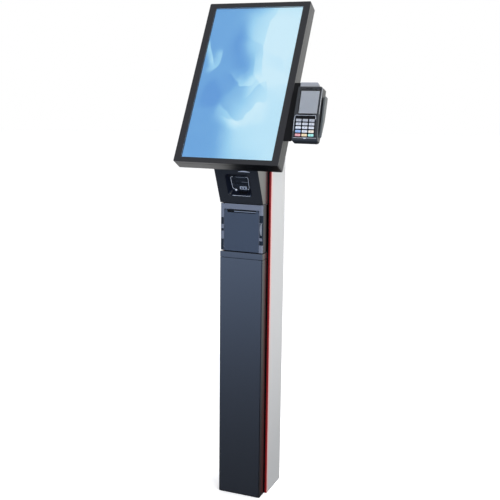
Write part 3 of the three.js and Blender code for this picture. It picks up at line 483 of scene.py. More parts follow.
def bm_box(x0, x1, y0, y1, z0, z1, into=None):
    bm = into or bmesh.new()
    v = [bm.verts.new((x, y, z)) for z in (z0, z1) for y in (y0, y1) for x in (x0, x1)]
    fs = [bm.faces.new([v[i] for i in f]) for f in
          ((0, 2, 3, 1), (4, 5, 7, 6), (0, 1, 5, 4), (2, 6, 7, 3), (0, 4, 6, 2), (1, 3, 7, 5))]
    return bm


def merge(bm, other):
    me = bpy.data.meshes.new("tmp")
    other.to_mesh(me)
    other.free()
    bm.from_mesh(me)
    bpy.data.meshes.remove(me)
    return bm


def bevel(bm, w, seg=2, angle=30, pick=None):
    bmesh.ops.recalc_face_normals(bm, faces=bm.faces)
    bm.normal_update()
    es = [e for e in bm.edges if len(e.link_faces) == 2 and e.calc_face_angle(0) > rad(angle) and (pick is None or pick(e))]
    if es:
        bmesh.ops.bevel(bm, geom=es, offset=w, offset_type="OFFSET", segments=seg, profile=0.5, affect="EDGES", clamp_overlap=True)
    return bm


def rbox(x0, x1, y0, y1, z0, z1, r=0.5, seg=2):
    return bevel(bm_box(x0, x1, y0, y1, z0, z1), r, seg)


def rounded(x0, x1, z0, z1, r, n=6):
    out = []
    for cx, cz, a in ((x1 - r, z0 + r, -90), (x1 - r, z1 - r, 0), (x0 + r, z1 - r, 90), (x0 + r, z0 + r, 180)):
        for i in range(n + 1):
            t = rad(a + 90 * i / n)
            out.append((cx + r * math.cos(t), cz + r * math.sin(t)))
    return out


def loft(rings, cap0=True, cap1=True):
    """rings: lists of (x, y, z) of one count, closed loops."""
    bm = bmesh.new()
    vs = [[bm.verts.new(p) for p in ring] for ring in rings]
    n = len(vs[0])
    for a, b in zip(vs, vs[1:]):
        for i in range(n):
            j = (i + 1) % n
            bm.faces.new((a[i], a[j], b[j], b[i]))
    if cap0:
        bm.faces.new(list(reversed(vs[0])))
    if cap1:
        bm.faces.new(vs[-1])
    return bm


def prism_y(outline, y0, y1, edge=0.0):
    """outline in (x, z); edge is not used."""
    cx = sum(p[0] for p in outline) / len(outline)
    cz = sum(p[1] for p in outline) / len(outline)
    return loft([[(x, y0, z) for x, z in outline], [(x, y1, z) for x, z in outline]])


def prism_x(outline, x0, x1):
    return loft([[(x0, y, z) for y, z in outline], [(x1, y, z) for y, z in outline]])


def ring_y(outer, inner, y0, y1):
    """A flat frame between two outlines of one count in (x, z)."""
    bm = bmesh.new()
    n = len(outer)
    a = [[bm.verts.new((x, y, z)) for x, z in o] for o in (outer, inner) for y in (y0, y1)]
    o0, o1, i0, i1 = a
    for i in range(n):
        j = (i + 1) % n
        bm.faces.new((o0[i], o0[j], o1[j], o1[i]))
        bm.faces.new((i0[j], i0[i], i1[i], i1[j]))
        bm.faces.new((o0[j], o0[i], i0[i], i0[j]))
        bm.faces.new((o1[i], o1[j], i1[j], i1[i]))
    return bm


def tube(path, r, n=10, closed=False, flat=1.0):
    """A swept round bead along points; flat squeezes it along its second normal."""
    bm = bmesh.new()
    pts = [Vector(p) for p in path]
    m = len(pts)
    rings = []
    up = None
    for i, p in enumerate(pts):
        a = pts[(i - 1) % m] if closed or i > 0 else pts[0]
        b = pts[(i + 1) % m] if closed or i < m - 1 else pts[-1]
        d = (b - a).normalized()
        if up is None:
            up = Vector((0, 1, 0)) if abs(d.y) < 0.9 else Vector((1, 0, 0))
        s = d.cross(up).normalized()
        up = s.cross(d).normalized()
        rings.append([bm.verts.new(p + s * (r * math.cos(2 * math.pi * k / n)) + up * (r * flat * math.sin(2 * math.pi * k / n))) for k in range(n)])
    segs = list(zip(rings, rings[1:])) + ([(rings[-1], rings[0])] if closed else [])
    for a, b in segs:
        for k in range(n):
            j = (k + 1) % n
            bm.faces.new((a[k], a[j], b[j], b[k]))
    if not closed:
        bm.faces.new(list(reversed(rings[0])))
        bm.faces.new(rings[-1])
    return bm


def axis_matrix(pos, axis):
    """Local +Z goes along axis, at pos."""
    return Matrix.Translation(pos) @ Vector(axis).to_track_quat("Z", "Y").to_matrix().to_4x4()


def lathe(profile, pos, axis, n=32):
    """profile: (r, h) points; r 0 at an end closes it."""
    bm = bmesh.new()
    rings = []
    for r, h in profile:
        if r == 0:
            rings.append([bm.verts.new((0, 0, h))])
        else:
            rings.append([bm.verts.new((r * math.cos(2 * math.pi * k / n), r * math.sin(2 * math.pi * k / n), h)) for k in range(n)])
    for a, b in zip(rings, rings[1:]):
        for k in range(n):
            j = (k + 1) % n
            if len(a) == 1 and len(b) == 1:
                continue
            if len(a) == 1:
                bm.faces.new((a[0], b[j], b[k]))
            elif len(b) == 1:
                bm.faces.new((a[k], a[j], b[0]))
            else:
                bm.faces.new((a[k], a[j], b[j], b[k]))
    if len(rings[0]) > 1:
        bm.faces.new(list(reversed(rings[0])))
    if len(rings[-1]) > 1:
        bm.faces.new(rings[-1])
    bm.transform(axis_matrix(pos, axis))
    return bm


def screw(pos, axis, r=2.6, h=1.5, kind="hex"):
    """A domed head with a hex recess; its seat is at pos, and it stands out along axis."""
    n = 24
    rr = [(r, 0.0), (r, h * 0.35), (r * 0.93, h * 0.68), (r * 0.78, h * 0.9), (r * 0.62, h)]
    bm = bmesh.new()
    circ = lambda R, z: [bm.verts.new((R * math.cos(2 * math.pi * k / n), R * math.sin(2 * math.pi * k / n), z)) for k in range(n)]

    def hexa(R, z):
        out = []
        for k in range(n):
            t = 2 * math.pi * k / n
            q = (t % (math.pi / 3)) - math.pi / 6
            d = R * math.cos(math.pi / 6) / math.cos(q)
            out.append(bm.verts.new((d * math.cos(t), d * math.sin(t), z)))
        return out

    rings = [circ(a, b) for a, b in rr] + [hexa(r * 0.46, h), hexa(r * 0.44, h * 0.35)]
    for a, b in zip(rings, rings[1:]):
        for k in range(n):
            j = (k + 1) % n
            bm.faces.new((a[k], a[j], b[j], b[k]))
    bm.faces.new(list(reversed(rings[0])))
    bm.faces.new(rings[-1])
    bm.transform(axis_matrix(pos, axis))
    return bm


def screws(name, frm, body, mat, places, r=2.6, h=1.5):
    bm = bmesh.new()
    for pos, axis in places:
        merge(bm, screw(pos, axis, r, h))
    return mesh_object(bm, name, frm, body, mat, weighted=False, sharp=40)


def clone(node, frm):
    """A copy of a CAD node's mesh, in millimetres of the frame frm, with flat faces whole."""
    bm = bmesh.new()
    bm.from_mesh(NODES[node].data)
    bmesh.ops.remove_doubles(bm, verts=bm.verts, dist=2e-6)
    bm.transform(frm.inverted())
    bmesh.ops.dissolve_limit(bm, angle_limit=rad(0.6), verts=bm.verts, edges=bm.edges)
    for f in bm.faces:
        f.material_index = 0
    return bm


def crease_weights(o, angle, sharp):
    """Bevel weight 1 on every edge folded by more than angle degrees, except where sharp(middle in mm) is true."""
    me = o.data
    bm = bmesh.new()
    bm.from_mesh(me)
    bmesh.ops.remove_doubles(bm, verts=bm.verts, dist=2e-6)
    folds = set()
    for e in bm.edges:
        if len(e.link_faces) == 2 and e.calc_face_angle() > rad(angle):
            if not sharp((e.verts[0].co + e.verts[1].co) * 500):
                folds.add(frozenset(tuple(round(c * 1e5) for c in v.co) for v in e.verts))
    bm.free()
    layer = me.attributes.new("bevel_weight_edge", "FLOAT", "EDGE")
    for e in me.edges:
        ends = frozenset(tuple(round(c * 1e5) for c in me.vertices[i].co) for i in e.vertices)
        layer.data[e.index].value = 1.0 if ends in folds else 0.0


def dress(node, mat, width=0.5, seg=2, angle=32, second=None, where=None, sharp=None, dissolve=True):
    """A CAD node that stays: its material, with its edges broken by modifiers. where picks faces of a second material."""
    o = NODES[node]
    o.data.materials.clear()
    o.data.materials.append(MATS[mat])
    if second:
        o.data.materials.append(MATS[second])
    for p in o.data.polygons:
        p.use_smooth = bool(width)
        p.material_index = 1 if second and where(p.center * 1000, p.normal) else 0
    if width:
        w = o.modifiers.new("weld", "WELD")
        w.merge_threshold = 2e-6
        if dissolve:
            d = o.modifiers.new("faces", "DECIMATE")
            d.decimate_type = "DISSOLVE"
            d.angle_limit = rad(0.6)
            d.delimit = {"MATERIAL"}
        b = o.modifiers.new("edges", "BEVEL")
        b.width = width * 0.001
        b.segments = seg
        b.limit_method = "WEIGHT" if sharp else "ANGLE"
        b.angle_limit = rad(angle)
        if sharp:
            crease_weights(o, angle, sharp)
        b.use_clamp_overlap = True
        b.miter_outer = "MITER_ARC"
        b.material = 0 if second else -1
        n = o.modifiers.new("normals", "WEIGHTED_NORMAL")
        n.weight = 60
        n.keep_sharp = False
    return o


def paint(node, mat, where):
    """One more material on some faces of a dressed CAD node."""
    o = NODES[node]
    o.data.materials.append(MATS[mat])
    for p in o.data.polygons:
        if where(p.center * 1000, p.normal):
            p.material_index = len(o.data.materials) - 1


def glyph(text, size, x, y, z, extrude=0.03):
    """A numeral or sign as a thin print facing -Y, in millimetres."""
    cu = bpy.data.curves.new("glyph", "FONT")
    cu.body = text
    cu.size = size
    cu.align_x = "CENTER"
    cu.align_y = "CENTER"
    cu.extrude = extrude
    cu.resolution_u = 5
    ob = bpy.data.objects.new("glyph", cu)
    scene.collection.objects.link(ob)
    bpy.context.view_layer.update()
    me = bpy.data.meshes.new_from_object(ob.evaluated_get(bpy.context.evaluated_depsgraph_get()))
    bm = bmesh.new()
    bm.from_mesh(me)
    bpy.data.objects.remove(ob)
    bpy.data.curves.remove(cu)
    bpy.data.meshes.remove(me)
    bmesh.ops.remove_doubles(bm, verts=bm.verts, dist=1e-4)
    co = [v.co for v in bm.verts]
    cx = (min(c.x for c in co) + max(c.x for c in co)) / 2
    cy = (min(c.y for c in co) + max(c.y for c in co)) / 2
    bm.transform(Matrix.Translation((x, y, z)) @ Matrix.Rotation(rad(90), 4, "X") @ Matrix.Translation((-cx, -cy, 0)))
    return bm


# ------------------------------------------------------------------ column
dress("base_plate", "base_steel", 0.6)
# painted shade: the flange fronts beside the red strip get the black coat, standing in for the shade in that gap
dress("rear_column", "coat_light", 0.6, second="coat_black", where=lambda c, n: n.y < -0.9 and c.y < -39.5)
for side, s in (("left", -1), ("right", 1)):
    # a shallow round bead on each front flange
    arc = [(76.9 + 7.0 * i / 12, -40.6 - 1.2 * math.sin(math.pi * (0.04 + 0.92 * i / 12)) ** 0.7) for i in range(13)]
    prof = [(s * x, y) for x, y in [(76.9, -40.4)] + arc + [(83.9, -40.4)]]
    mesh_object(loft([[(x, y, 0.6) for x, y in prof], [(x, y, 1369) for x, y in prof]]), "accent_bead_" + side, ROW, "kiosk", "coat_red",
                replaces=("accent_strip_" + side,), weighted=False, sharp=60)
dress("front_chassis", "coat_dark", 0.3)
dress("trim_band", "coat_anthracite", 0.5)
dress("front_door", "coat_anthracite", 0.55, sharp=lambda m: m.x < -71.0 and (35 < m.z < 45 or 805 < m.z < 815))
mesh_object(rbox(-73.0, 73.2, -85.8, -83.95, 0.7, 4.4, 0.4), "door_foot_seal", ROW, "front_door", "seal_black")
dress("computer_module", "alu", 0.6)
dress("power_supply", "alu", 0.5)
dress("mains_inlet", "plastic_black", 0.4)
dress("power_rocker", "gloss_black", 0.5)
dress("door_hinge_pin", "steel", 0.3)

screws("column_back_screws", ROW, "kiosk", "steel_dark",
       [((s * 74, 86, z), (0, 1, 0)) for s in (-1, 1) for z in (110, 400, 780, 1120, 1420)], 3.0, 1.5)
bm = bmesh.new()
for x, z, a, b in ((-9.5, 79.5, 2.0, 4.2), (-15.5, 72.3, 2.0, 4.2), (-3.5, 72.3, 2.0, 4.2)):
    merge(bm, rbox(x - a / 2, x + a / 2, 73.6, 84.5, z - b / 2, z + b / 2, 0.35))
mesh_object(bm, "mains_pins", ROW, "kiosk", "steel")
bm = glyph("I", 5.0, 0, 0, 0)
bm.transform(Matrix.Translation((14, 88.95, 79.8)) @ Matrix.Rotation(rad(180), 4, "Z") @ Matrix.Rotation(rad(14.3), 4, "X"))
o = glyph("O", 4.2, 0, 0, 0)
o.transform(Matrix.Translation((14, 87.42, 70.4)) @ Matrix.Rotation(rad(180), 4, "Z") @ Matrix.Rotation(rad(2.6), 4, "X"))
mesh_object(merge(bm, o), "rocker_marks", ROW, "power_rocker", "ink_white", smooth=False, weighted=False)

# screws of the electronics, and a row of connectors on the computer
screws("module_screws", ROW, "kiosk", "steel_dark",
       [((s * 60, 34, z), (0, -1, 0)) for s in (-1, 1) for z in (388, 592)]
       + [((s * 41, 44, z), (0, -1, 0)) for s in (-1, 1) for z in (156, 230)], 2.8, 1.4)
bm = bmesh.new()
for i in range(4):
    x = -42 + i * 27
    merge(bm, ring_y(rounded(x - 8, x + 8, -3, 9, 1, 3), rounded(x - 6.4, x + 6.4, -1.4, 7.4, 0.6, 3), 0, 7))
bm.transform(Matrix.Translation((0, 52, 379.8)) @ Matrix.Rotation(rad(90), 4, "X"))
mesh_object(bm, "computer_connectors", ROW, "kiosk", "steel", weighted=False)

# ------------------------------------------------------------------ receipt printer
def in_recess(c, nrm):
    right = c.x > 61.0 and any(a < c.z < b for a, b in ((938.9, 963.1), (890.9, 937.5), (866.9, 881.1)))
    left = c.x < -61.0 and any(a < c.z < b for a, b in ((927.5, 950.5), (905.9, 914.5), (841.5, 880.1)))
    return (right or left) and c.y > -85.9 and c.y < -80.5


# painted shade: the finger-scoop recess faces are coloured near-black navy, standing in for the shade in the scoops
dress("printer_frame", "shell_printer", 0.35, second="recess_painted_shade", where=in_recess)
# the printer frame's outer side faces get the side material with its painted shade
paint("printer_frame", "printer_side_painted_shade", lambda c, n: abs(n.x) > 0.9 and abs(c.x) > 73.5)
dress("printer_door", "door_printer", 0.6, 3)
# release lever: a bowed finger rest on its slider
outline = [(62.8 + 3.4 * (1 - math.sin(math.pi * i / 14)), 899.0 + 37.6 * i / 14) for i in range(15)]
outline = outline + [(69.8, 936.6 - 37.6 * i / 6) for i in range(7)]
bm = bevel(prism_y(outline, -85.4, -81.4), 0.7, 3, 34)
merge(bm, rbox(65.3, 68.7, -82, -75.4, 910, 926, 0.3))
mesh_object(bm, "release_lever_bowed", ROW, "release_lever", "plastic_grey", replaces=("release_lever",), sharp=50)
dress("printer_door_pin", "steel", 0.3)
dress("paper_spindle", "plastic_black", 0.5)
dress("platen_roller", "rubber", 0.4)
dress("platen_gear", "plastic_black", 0.15)
dress("drive_pinion", "steel", 0.12)
dress("printer_motor", "steel_dark", 0.6)
dress("print_head", "steel_dark", 0.5)

# paper roll: wound layers on its ends, a core, and soft rims
r0, r1, h = 6.9, 37.9, 39.7
prof = [(r1 - 0.5, h)]
k = 22
for i in range(k):
    r = r1 - 0.5 - (r1 - 0.5 - 10.2) * (i + 1) / k
    prof.append((r, h - (0.28 if i % 2 else 0.0)))
prof = [(r0, -h + 0.6), (r0 + 0.5, -h + 0.2), (8.9, -h + 0.2), (9.2, -h + 0.5)] + [(a, -b) for a, b in reversed(prof)] + [
    (r1, -h + 0.5), (r1, h - 0.5)] + prof + [(9.2, h - 0.5), (8.9, h - 0.2), (r0 + 0.5, h - 0.2), (r0, h - 0.6)]
bm = bmesh.new()
n = 72
rings = [[bm.verts.new((r * math.cos(2 * math.pi * q / n), r * math.sin(2 * math.pi * q / n), z)) for q in range(n)] for r, z in prof]
for a, b in zip(rings, rings[1:] + rings[:1]):
    for q in range(n):
        j = (q + 1) % n
        bm.faces.new((a[q], a[j], b[j], b[q]))
bm.transform(axis_matrix((0, -22, 897), (1, 0, 0)))
mesh_object(bm, "paper_roll_wound", ROW, "paper_roll", "paper", replaces=("paper_roll",), weighted=False)

# tear bar with a toothed lip
bm = rbox(-51, 51, -80.6, -76.2, 975.2, 977.2, 0.3)
merge(bm, rbox(-48, 48, -80.4, -79.2, 970.0, 975.6, 0.25))
mesh_object(bm, "tear_bar_carrier", ROW, "kiosk", "matte_black", replaces=("tear_bar",))
bm = bevel(loft([[(-27, -81.9, 972.9), (-27, -80.5, 974.1), (-27, -80.5, 970.2), (-27, -82.2, 970.2)],
                 [(48, -81.9, 972.9), (48, -80.5, 974.1), (48, -80.5, 970.2), (48, -82.2, 970.2)]]), 0.25, 2)
saw = []
teeth = 50
for i in range(teeth + 1):
    x = -27 + 75 * i / teeth
    saw.append((x, -81.5))
    if i < teeth:
        saw.append((x + 37.5 / teeth, -82.6))
outline = [(48, -80.0), (-27, -80.0)] + saw
merge(bm, loft([[(x, y, 969.5) for x, y in outline], [(x, y, 970.2) for x, y in outline]]))
mesh_object(bm, "tear_blade", ROW, "kiosk", "steel_dark", weighted=False)

# lever ribs
bm = bmesh.new()
for i in range(5):
    merge(bm, rbox(66.4, 69.2, -85.8, -85.2, 926.5 + i * 1.9, 927.4 + i * 1.9, 0.2, 1))
mesh_object(bm, "lever_ribs", ROW, "release_lever", "plastic_grey")

# ------------------------------------------------------------------ scanner housing
dress("wedge_housing", "coat_anthracite", 0.6)
def ring_at(x, z0, z1, r, y):
    return [(px, y, pz) for px, pz in rounded(-x, x, z0, z1, r, 8)]


rings = [ring_at(40.6, 26.4, 106.6, 11.6, 19.6), ring_at(40.6, 26.4, 106.6, 11.6, 0.9), ring_at(40.45, 26.55, 106.45, 11.5, 0.55),
         ring_at(40.2, 26.9, 106.2, 11.3, 0.4), ring_at(39.9, 27.3, 105.9, 11.1, 0.42), ring_at(39.5, 27.7, 105.5, 10.8, 0.75),
         ring_at(36.9, 31.2, 101.1, 8.7, 5.3), ring_at(34.2, 34.8, 96.7, 6.4, 10.4), ring_at(31.5, 38.4, 92.2, 4.3, 15.8),
         ring_at(31.2, 38.8, 91.8, 4.0, 16.6), ring_at(31.2, 38.8, 91.8, 4.0, 18.3), ring_at(28.3, 42.7, 87.3, 2.4, 18.3),
         ring_at(28.0, 43.0, 87.0, 2.2, 18.6), ring_at(28.0, 43.0, 87.0, 2.2, 19.8), ring_at(34.0, 36.0, 95.0, 4.0, 20.0), ring_at(40.2, 26.8, 106.2, 11.3, 20.0)]
bm = bmesh.new()
vs = [[bm.verts.new(q) for q in ring] for ring in rings]
for a, b in zip(vs, vs[1:] + vs[:1]):
    for i in range(len(a)):
        j = (i + 1) % len(a)
        bm.faces.new((a[i], a[j], b[j], b[i]))
# painted shade: the funnel walls are coloured darker than the black plastic, standing in for the shade inside the
# scanner recess
mesh_object(bm, "scanner_bezel_funnel", PANEL, "kiosk", "funnel_navy", replaces=("scanner_bezel",), weighted=False, sharp=40)
dress("scanner_window", "glass_smoke", 0.15)
dress("scanner_engine", "plastic_black", 0.4)

# scanner guide frame: thin beads that glow faintly, a painted highlight
bm = bmesh.new()
for s in (-1, 1):
    e = 1 if s < 0 else 0.985
    path = [(s * 22, 15.7, 89), (s * 27.2, 15.7, 88.4), (s * 29.6, 15.7, 85.6), (s * 29.9 * e, 15.7, 79), (s * 29.0, 15.7, 60),
            (s * 28.4, 15.7, 50), (s * 26.6, 15.7, 46), (s * 23, 15.7, 44.4)]
    merge(bm, tube(path, 0.75, 10))
mesh_object(bm, "scanner_guide_frame", PANEL, "kiosk", "guide_bright", weighted=False)
bm = bmesh.new()
merge(bm, rbox(-13, 21, 15.5, 16.3, 87.2, 88.6, 0.25))
merge(bm, rbox(6, 27, 15.5, 16.3, 70.4, 71.6, 0.25))
mesh_object(bm, "scanner_crossbars", PANEL, "kiosk", "plastic_grey")
# the sensor plate's faint glow is painted light
mesh_object(prism_y(rounded(-3.5, 20.5, 44.5, 55.0, 1.6), 14.9, 16.3), "scanner_sensor_plate", PANEL, "kiosk", "sensor_plate")
bm = bmesh.new()
for x in (3.2, 12.4):
    merge(bm, lathe([(0, 0.9), (1.2, 0.75), (2.1, 0.3), (2.4, 0.0), (3.1, 0.0), (3.3, 0.25), (3.3, -0.4), (0, -0.4)][::-1], (x, 14.9, 49.4), (0, -1, 0), 28))
mesh_object(bm, "scanner_lenses", PANEL, "kiosk", "lens_dark", weighted=False, sharp=60)
bm = lathe([(0, -0.6), (3.6, -0.6), (3.6, 0.5), (3.0, 0.9)] + [(2.7 * math.cos(rad(t)), 0.9 + 1.5 * math.sin(rad(t))) for t in (0, 25, 50, 70)] + [(0, 2.4)],
           (-17.8, 15.0, 41.2), (0, -1, 0), 28)
mesh_object(bm, "scanner_lamp", PANEL, "kiosk", "led_white", weighted=False, sharp=60)
# presence sensor window on the lower slope, and a sill along the mouth that glows faintly: a painted highlight
sl = math.degrees(math.atan2(38.8 - 27.6, 16.0))
bm = rbox(-6, 22, -4.6, 4.6, -0.35, 0.35, 0.2)
bm.transform(Matrix.Translation((0, 10.4, 35.3)) @ Matrix.Rotation(rad(sl), 4, "X"))
mesh_object(bm, "scanner_presence_window", PANEL, "kiosk", "gloss_black")
mesh_object(tube([(-27, 1.5, 28.9), (-20, 1.5, 28.7), (0, 1.5, 28.7), (27, 1.5, 28.7), (34, 1.5, 30.2)], 0.6, 8), "scanner_sill", PANEL, "kiosk",
            "guide_bright", weighted=False)
# pull tab at the top of the panel, glowing faintly: a painted highlight
pts = [(7 + 40 * i / 18, 117.6 + 3.6 * math.sin(math.pi * i / 18)) for i in range(19)]
low = [(47 - 40 * i / 18, 117.2 + 0.5 * math.sin(math.pi * i / 18)) for i in range(19)]
mesh_object(bevel(prism_y(pts + low, -1.8, -0.05), 0.35, 2), "panel_pull_tab", PANEL, "kiosk", "guide_bright")

# ------------------------------------------------------------------ display head
dress("display_bezel", "coat_bezel", 0.8, 3)
dress("display_rear_housing", "coat_bezel", 0.8, 3, sharp=lambda m: 99 < abs(m.x) < 161, dissolve=False)
NODES["display_rear_housing"].modifiers.remove(NODES["display_rear_housing"].modifiers["normals"])
for p in NODES["display_rear_housing"].data.polygons:
    p.use_smooth = False
# the downward faces of the display get the underside coat with its painted shade and reflection
for node in ("display_bezel", "display_rear_housing"):
    paint(node, "bezel_underside_painted_shade", lambda c, n: n.y * -0.486 + n.z * -0.874 > 0.9 and c.z < 1180)
dress("touch_glass", "glass_cover", 0.25)
dress("lcd_panel", "steel_dark", 0.5)
dress("display_controller", "board", 0.4)
dress("display_mount_plate", "steel_dark", 0.5)
dress("terminal_bracket", "coat_black", 0.8, 3)
dress("tilt_pin", "steel", 0.5)

bm = bm_box(-148.4, 148.4, 5.9, 6.2, -263.7, 263.7)
uvl = bm.loops.layers.uv.new("plane")
for f in bm.faces:
    for lp in f.loops:
        lp[uvl].uv = (lp.vert.co.x / 297, lp.vert.co.z / 297)
mesh_object(bm, "screen_picture", HEAD, "kiosk", "picture", smooth=False, weighted=False)

screws("display_back_screws", HEAD, "kiosk", "steel_dark",
       [((s * 160, 46, z), (0, 1, 0)) for s in (-1, 1) for z in (-268, -120, 30, 150, 268)]
       + [((x, 46, 268), (0, 1, 0)) for x in (-60, 60)] + [((s * 110, 46, -268), (0, 1, 0)) for s in (-1, 1)], 2.8, 1.3)
screws("mount_plate_screws", HEAD, "kiosk", "steel_dark",
       [((s * 50, 50, z), (0, 1, 0)) for s in (-1, 1) for z in (72, 238)], 3.4, 1.8)
screws("bracket_screws", HEAD, "kiosk", "steel_dark",
       [((196.5, y, z), (1, 0, 0)) for y, z in ((14, -30), (34, -30), (14, -180), (34, -180))], 2.6, 1.3)
# ribbon connectors and parts on the controller board
bm = bmesh.new()
for x, z, a, b, t in ((-40, -130, 22, 14, 4), (10, -120, 34, 8, 5), (48, -150, 12, 26, 6), (-20, -180, 18, 18, 3), (30, -190, 26, 7, 5)):
    merge(bm, rbox(x - a / 2, x + a / 2, 24 - t, 24.4, z - b / 2, z + b / 2, 0.4))
mesh_object(bm, "controller_components", HEAD, "kiosk", "plastic_black")

# locking nut and washer on the tilt pin
bm = lathe([(4.05, 0), (9.0, 0), (9.0, 0.5), (4.05, 0.5)], (211.9, 0, 0), (1, 0, 0), 32)
bm2 = bmesh.new()
ringsn = []
for R, z, hexy in ((6.0, 0.0, 1), (6.6, 0.3, 1), (6.6, 1.6, 1), (5.9, 2.0, 0)):
    row = []
    for q in range(48):
        t = 2 * math.pi * q / 48
        d = R * math.cos(math.pi / 6) / math.cos((t % (math.pi / 3)) - math.pi / 6) if hexy else R * 0.92
        row.append(bm2.verts.new((z, d * math.cos(t), d * math.sin(t))))
    ringsn.append(row)
for a, b in zip(ringsn, ringsn[1:]):
    for q in range(48):
        bm2.faces.new((a[q], a[(q + 1) % 48], b[(q + 1) % 48], b[q]))
bm2.faces.new(list(reversed(ringsn[0])))
bm2.faces.new(ringsn[-1])
bm2.transform(Matrix.Translation((212.45, 0, 0)))
merge(bm, bm2)
bm.transform(Matrix.Translation((-240.1, 52, 0)))
mesh_object(bm, "tilt_pin_nut", TERM, "kiosk", "steel", weighted=False, sharp=40)


# ------------------------------------------------------------------ card payment terminal
def shell(node, name, mat, big, wb, ws, segb=4, segs=2, frm=TERM, sharp_small=4):
    """A CAD casing rebuilt with generous outer radii and fine edges elsewhere."""
    bm = clone(node, frm)
    bevel(bm, wb, segb, 28, pick=big)
    bevel(bm, ws, segs, 34)
    return mesh_object(bm, name, frm, "terminal", mat, replaces=(node,), sharp=50)


def outer_front(e):
    c = (e.verts[0].co + e.verts[1].co) / 2
    edge = c.x < -36.5 or c.x > 34.6 or c.z > 81.6 or c.z < -79.5
    return edge and c.y < 9.4 and max(v.co.y for v in e.verts) < 10.1


def outer_rear(e):
    c = (e.verts[0].co + e.verts[1].co) / 2
    edge = c.x < -36.5 or c.x > 36.0 or c.z > 80.8 or c.z < -84 or (c.z < -58 and c.y > 15)
    return edge and c.y > 11.0


bm = clone("terminal_front_casing", TERM)
bevel(bm, 1.7, 4, 28, pick=outer_front)
bevel(bm, 0.25, 2, 34)
# painted shade: the chin faces below the sill get the darker black plastic, standing in for the shade on the
# downward-facing chin
for f in bm.faces:
    c = f.calc_center_median()
    f.material_index = 1 if c.z < -68.8 and c.y < 9.6 and abs(f.normal.x) < 0.8 else 0
mesh_object(bm, "terminal_front_shell", TERM, "terminal", ["plastic_charcoal", "plastic_black"], replaces=("terminal_front_casing",), sharp=50)
shell("terminal_rear_casing", "terminal_rear_shell", "plastic_black", outer_rear, 1.8, 0.25)
shell("terminal_cradle", "terminal_cradle_shell", "plastic_hood", lambda e: True, 0.8, 0.1, 3)
shell("swipe_reader", "swipe_reader_shell", "plastic_wing", lambda e: True, 0.9, 0.1, 3)
shell("keypad_surround", "keypad_surround_plate", "matte_black", lambda e: True, 0.22, 0.1, 2, frm=KEYPAD)
dress("terminal_lens", "glass_lens", 0.25)
dress("terminal_lcd", "lcd_small_painted_glow" if "lcd_small_painted_glow" in MATS else "plastic_grey", 0.2)
dress("terminal_board", "board", 0.2)
dress("chip_reader", "steel", 0.2)

mesh_object(ring_y(rounded(-28.7, 31.7, 3.7, 80.1, 2.2), rounded(-27.4, 29.8, 4.4, 73.2, 0.8), 1.93, 2.25),
            "lens_border", SCREEN, "terminal", "matte_black", smooth=False, weighted=False)

# bright bead round the keypad, thicker at its two upper corners
path = [(-38.4, 0.5, -50), (-38.2, 0.15, -36), (-37.7, -0.35, -20), (-36.9, -0.75, -10.5), (-35.6, -1.0, -5.4), (-33.8, -1.15, -3.1), (-31, -1.15, -2.5),
        (0, -1.15, -2.5), (25, -1.15, -2.5), (27.4, -1.15, -3.3), (28.3, -1.1, -6), (28.5, -0.7, -13)]
mesh_object(tube(path, 0.62, 10), "keypad_bead", KEYPAD, "terminal", "bead_grey", weighted=False)
bm = bmesh.new()
for s, x0, x1 in ((-1, -33.6, -25.2), (1, 19.6, 27.8)):
    a, b = (x0, x1) if s < 0 else (x1, x0)
    merge(bm, loft([[(a, -1.9, -1.6), (a, -0.3, -1.6), (a, -0.3, -4.0), (a, -1.9, -4.0)],
                    [(b, -1.2, -1.6), (b, -0.3, -1.6), (b, -0.3, -2.4), (b, -1.2, -2.4)]]))
mesh_object(bevel(bm, 0.35, 3), "keypad_corner_caps", KEYPAD, "terminal", "trim_silver")
mesh_object(bevel(prism_y(rounded(-24.6, 19.0, -1.6, 1.9, 1.0, 4), -0.35, 0.5), 0.2, 2), "ridge_inlay", KEYPAD, "terminal", "matte_black")

# pale side rail along the right front edge
rail = [(36.3, 2.3, 80.2), (36.3, 0.5, 72), (36.3, -1.6, 45), (36.3, -4.0, 12), (36.4, -4.9, -1)]
mesh_object(tube(rail, 1.25, 12), "side_rail_upper", TERM, "terminal", "rail_grey", weighted=False)
rail = [(36.4, -5.0, -2.4), (36.6, -3.8, -18), (36.8, -1.3, -47), (37.0, 0.9, -66), (38.4, 2.3, -75)]
mesh_object(tube(rail, 0.95, 12), "side_rail_lower", TERM, "terminal", "plastic_wing", weighted=False)

# sill under the keys, and a small notch over the card slot that glows faintly: a painted highlight
mesh_object(bevel(prism_y([(-37.2, -67.4), (34.6, -67.4), (34.3, -69.4), (-37.7, -69.4)], -0.75, 0.6), 0.3, 3), "keypad_sill", KEYPAD, "terminal",
            "plastic_hood")
mesh_object(bevel(prism_y([(-6.8, -67.9), (4.2, -67.9), (1.6, -70.9), (-4.0, -70.9)], -1.2, 0.6), 0.35, 2), "card_slot_marker", KEYPAD, "terminal",
            "guide_bright")

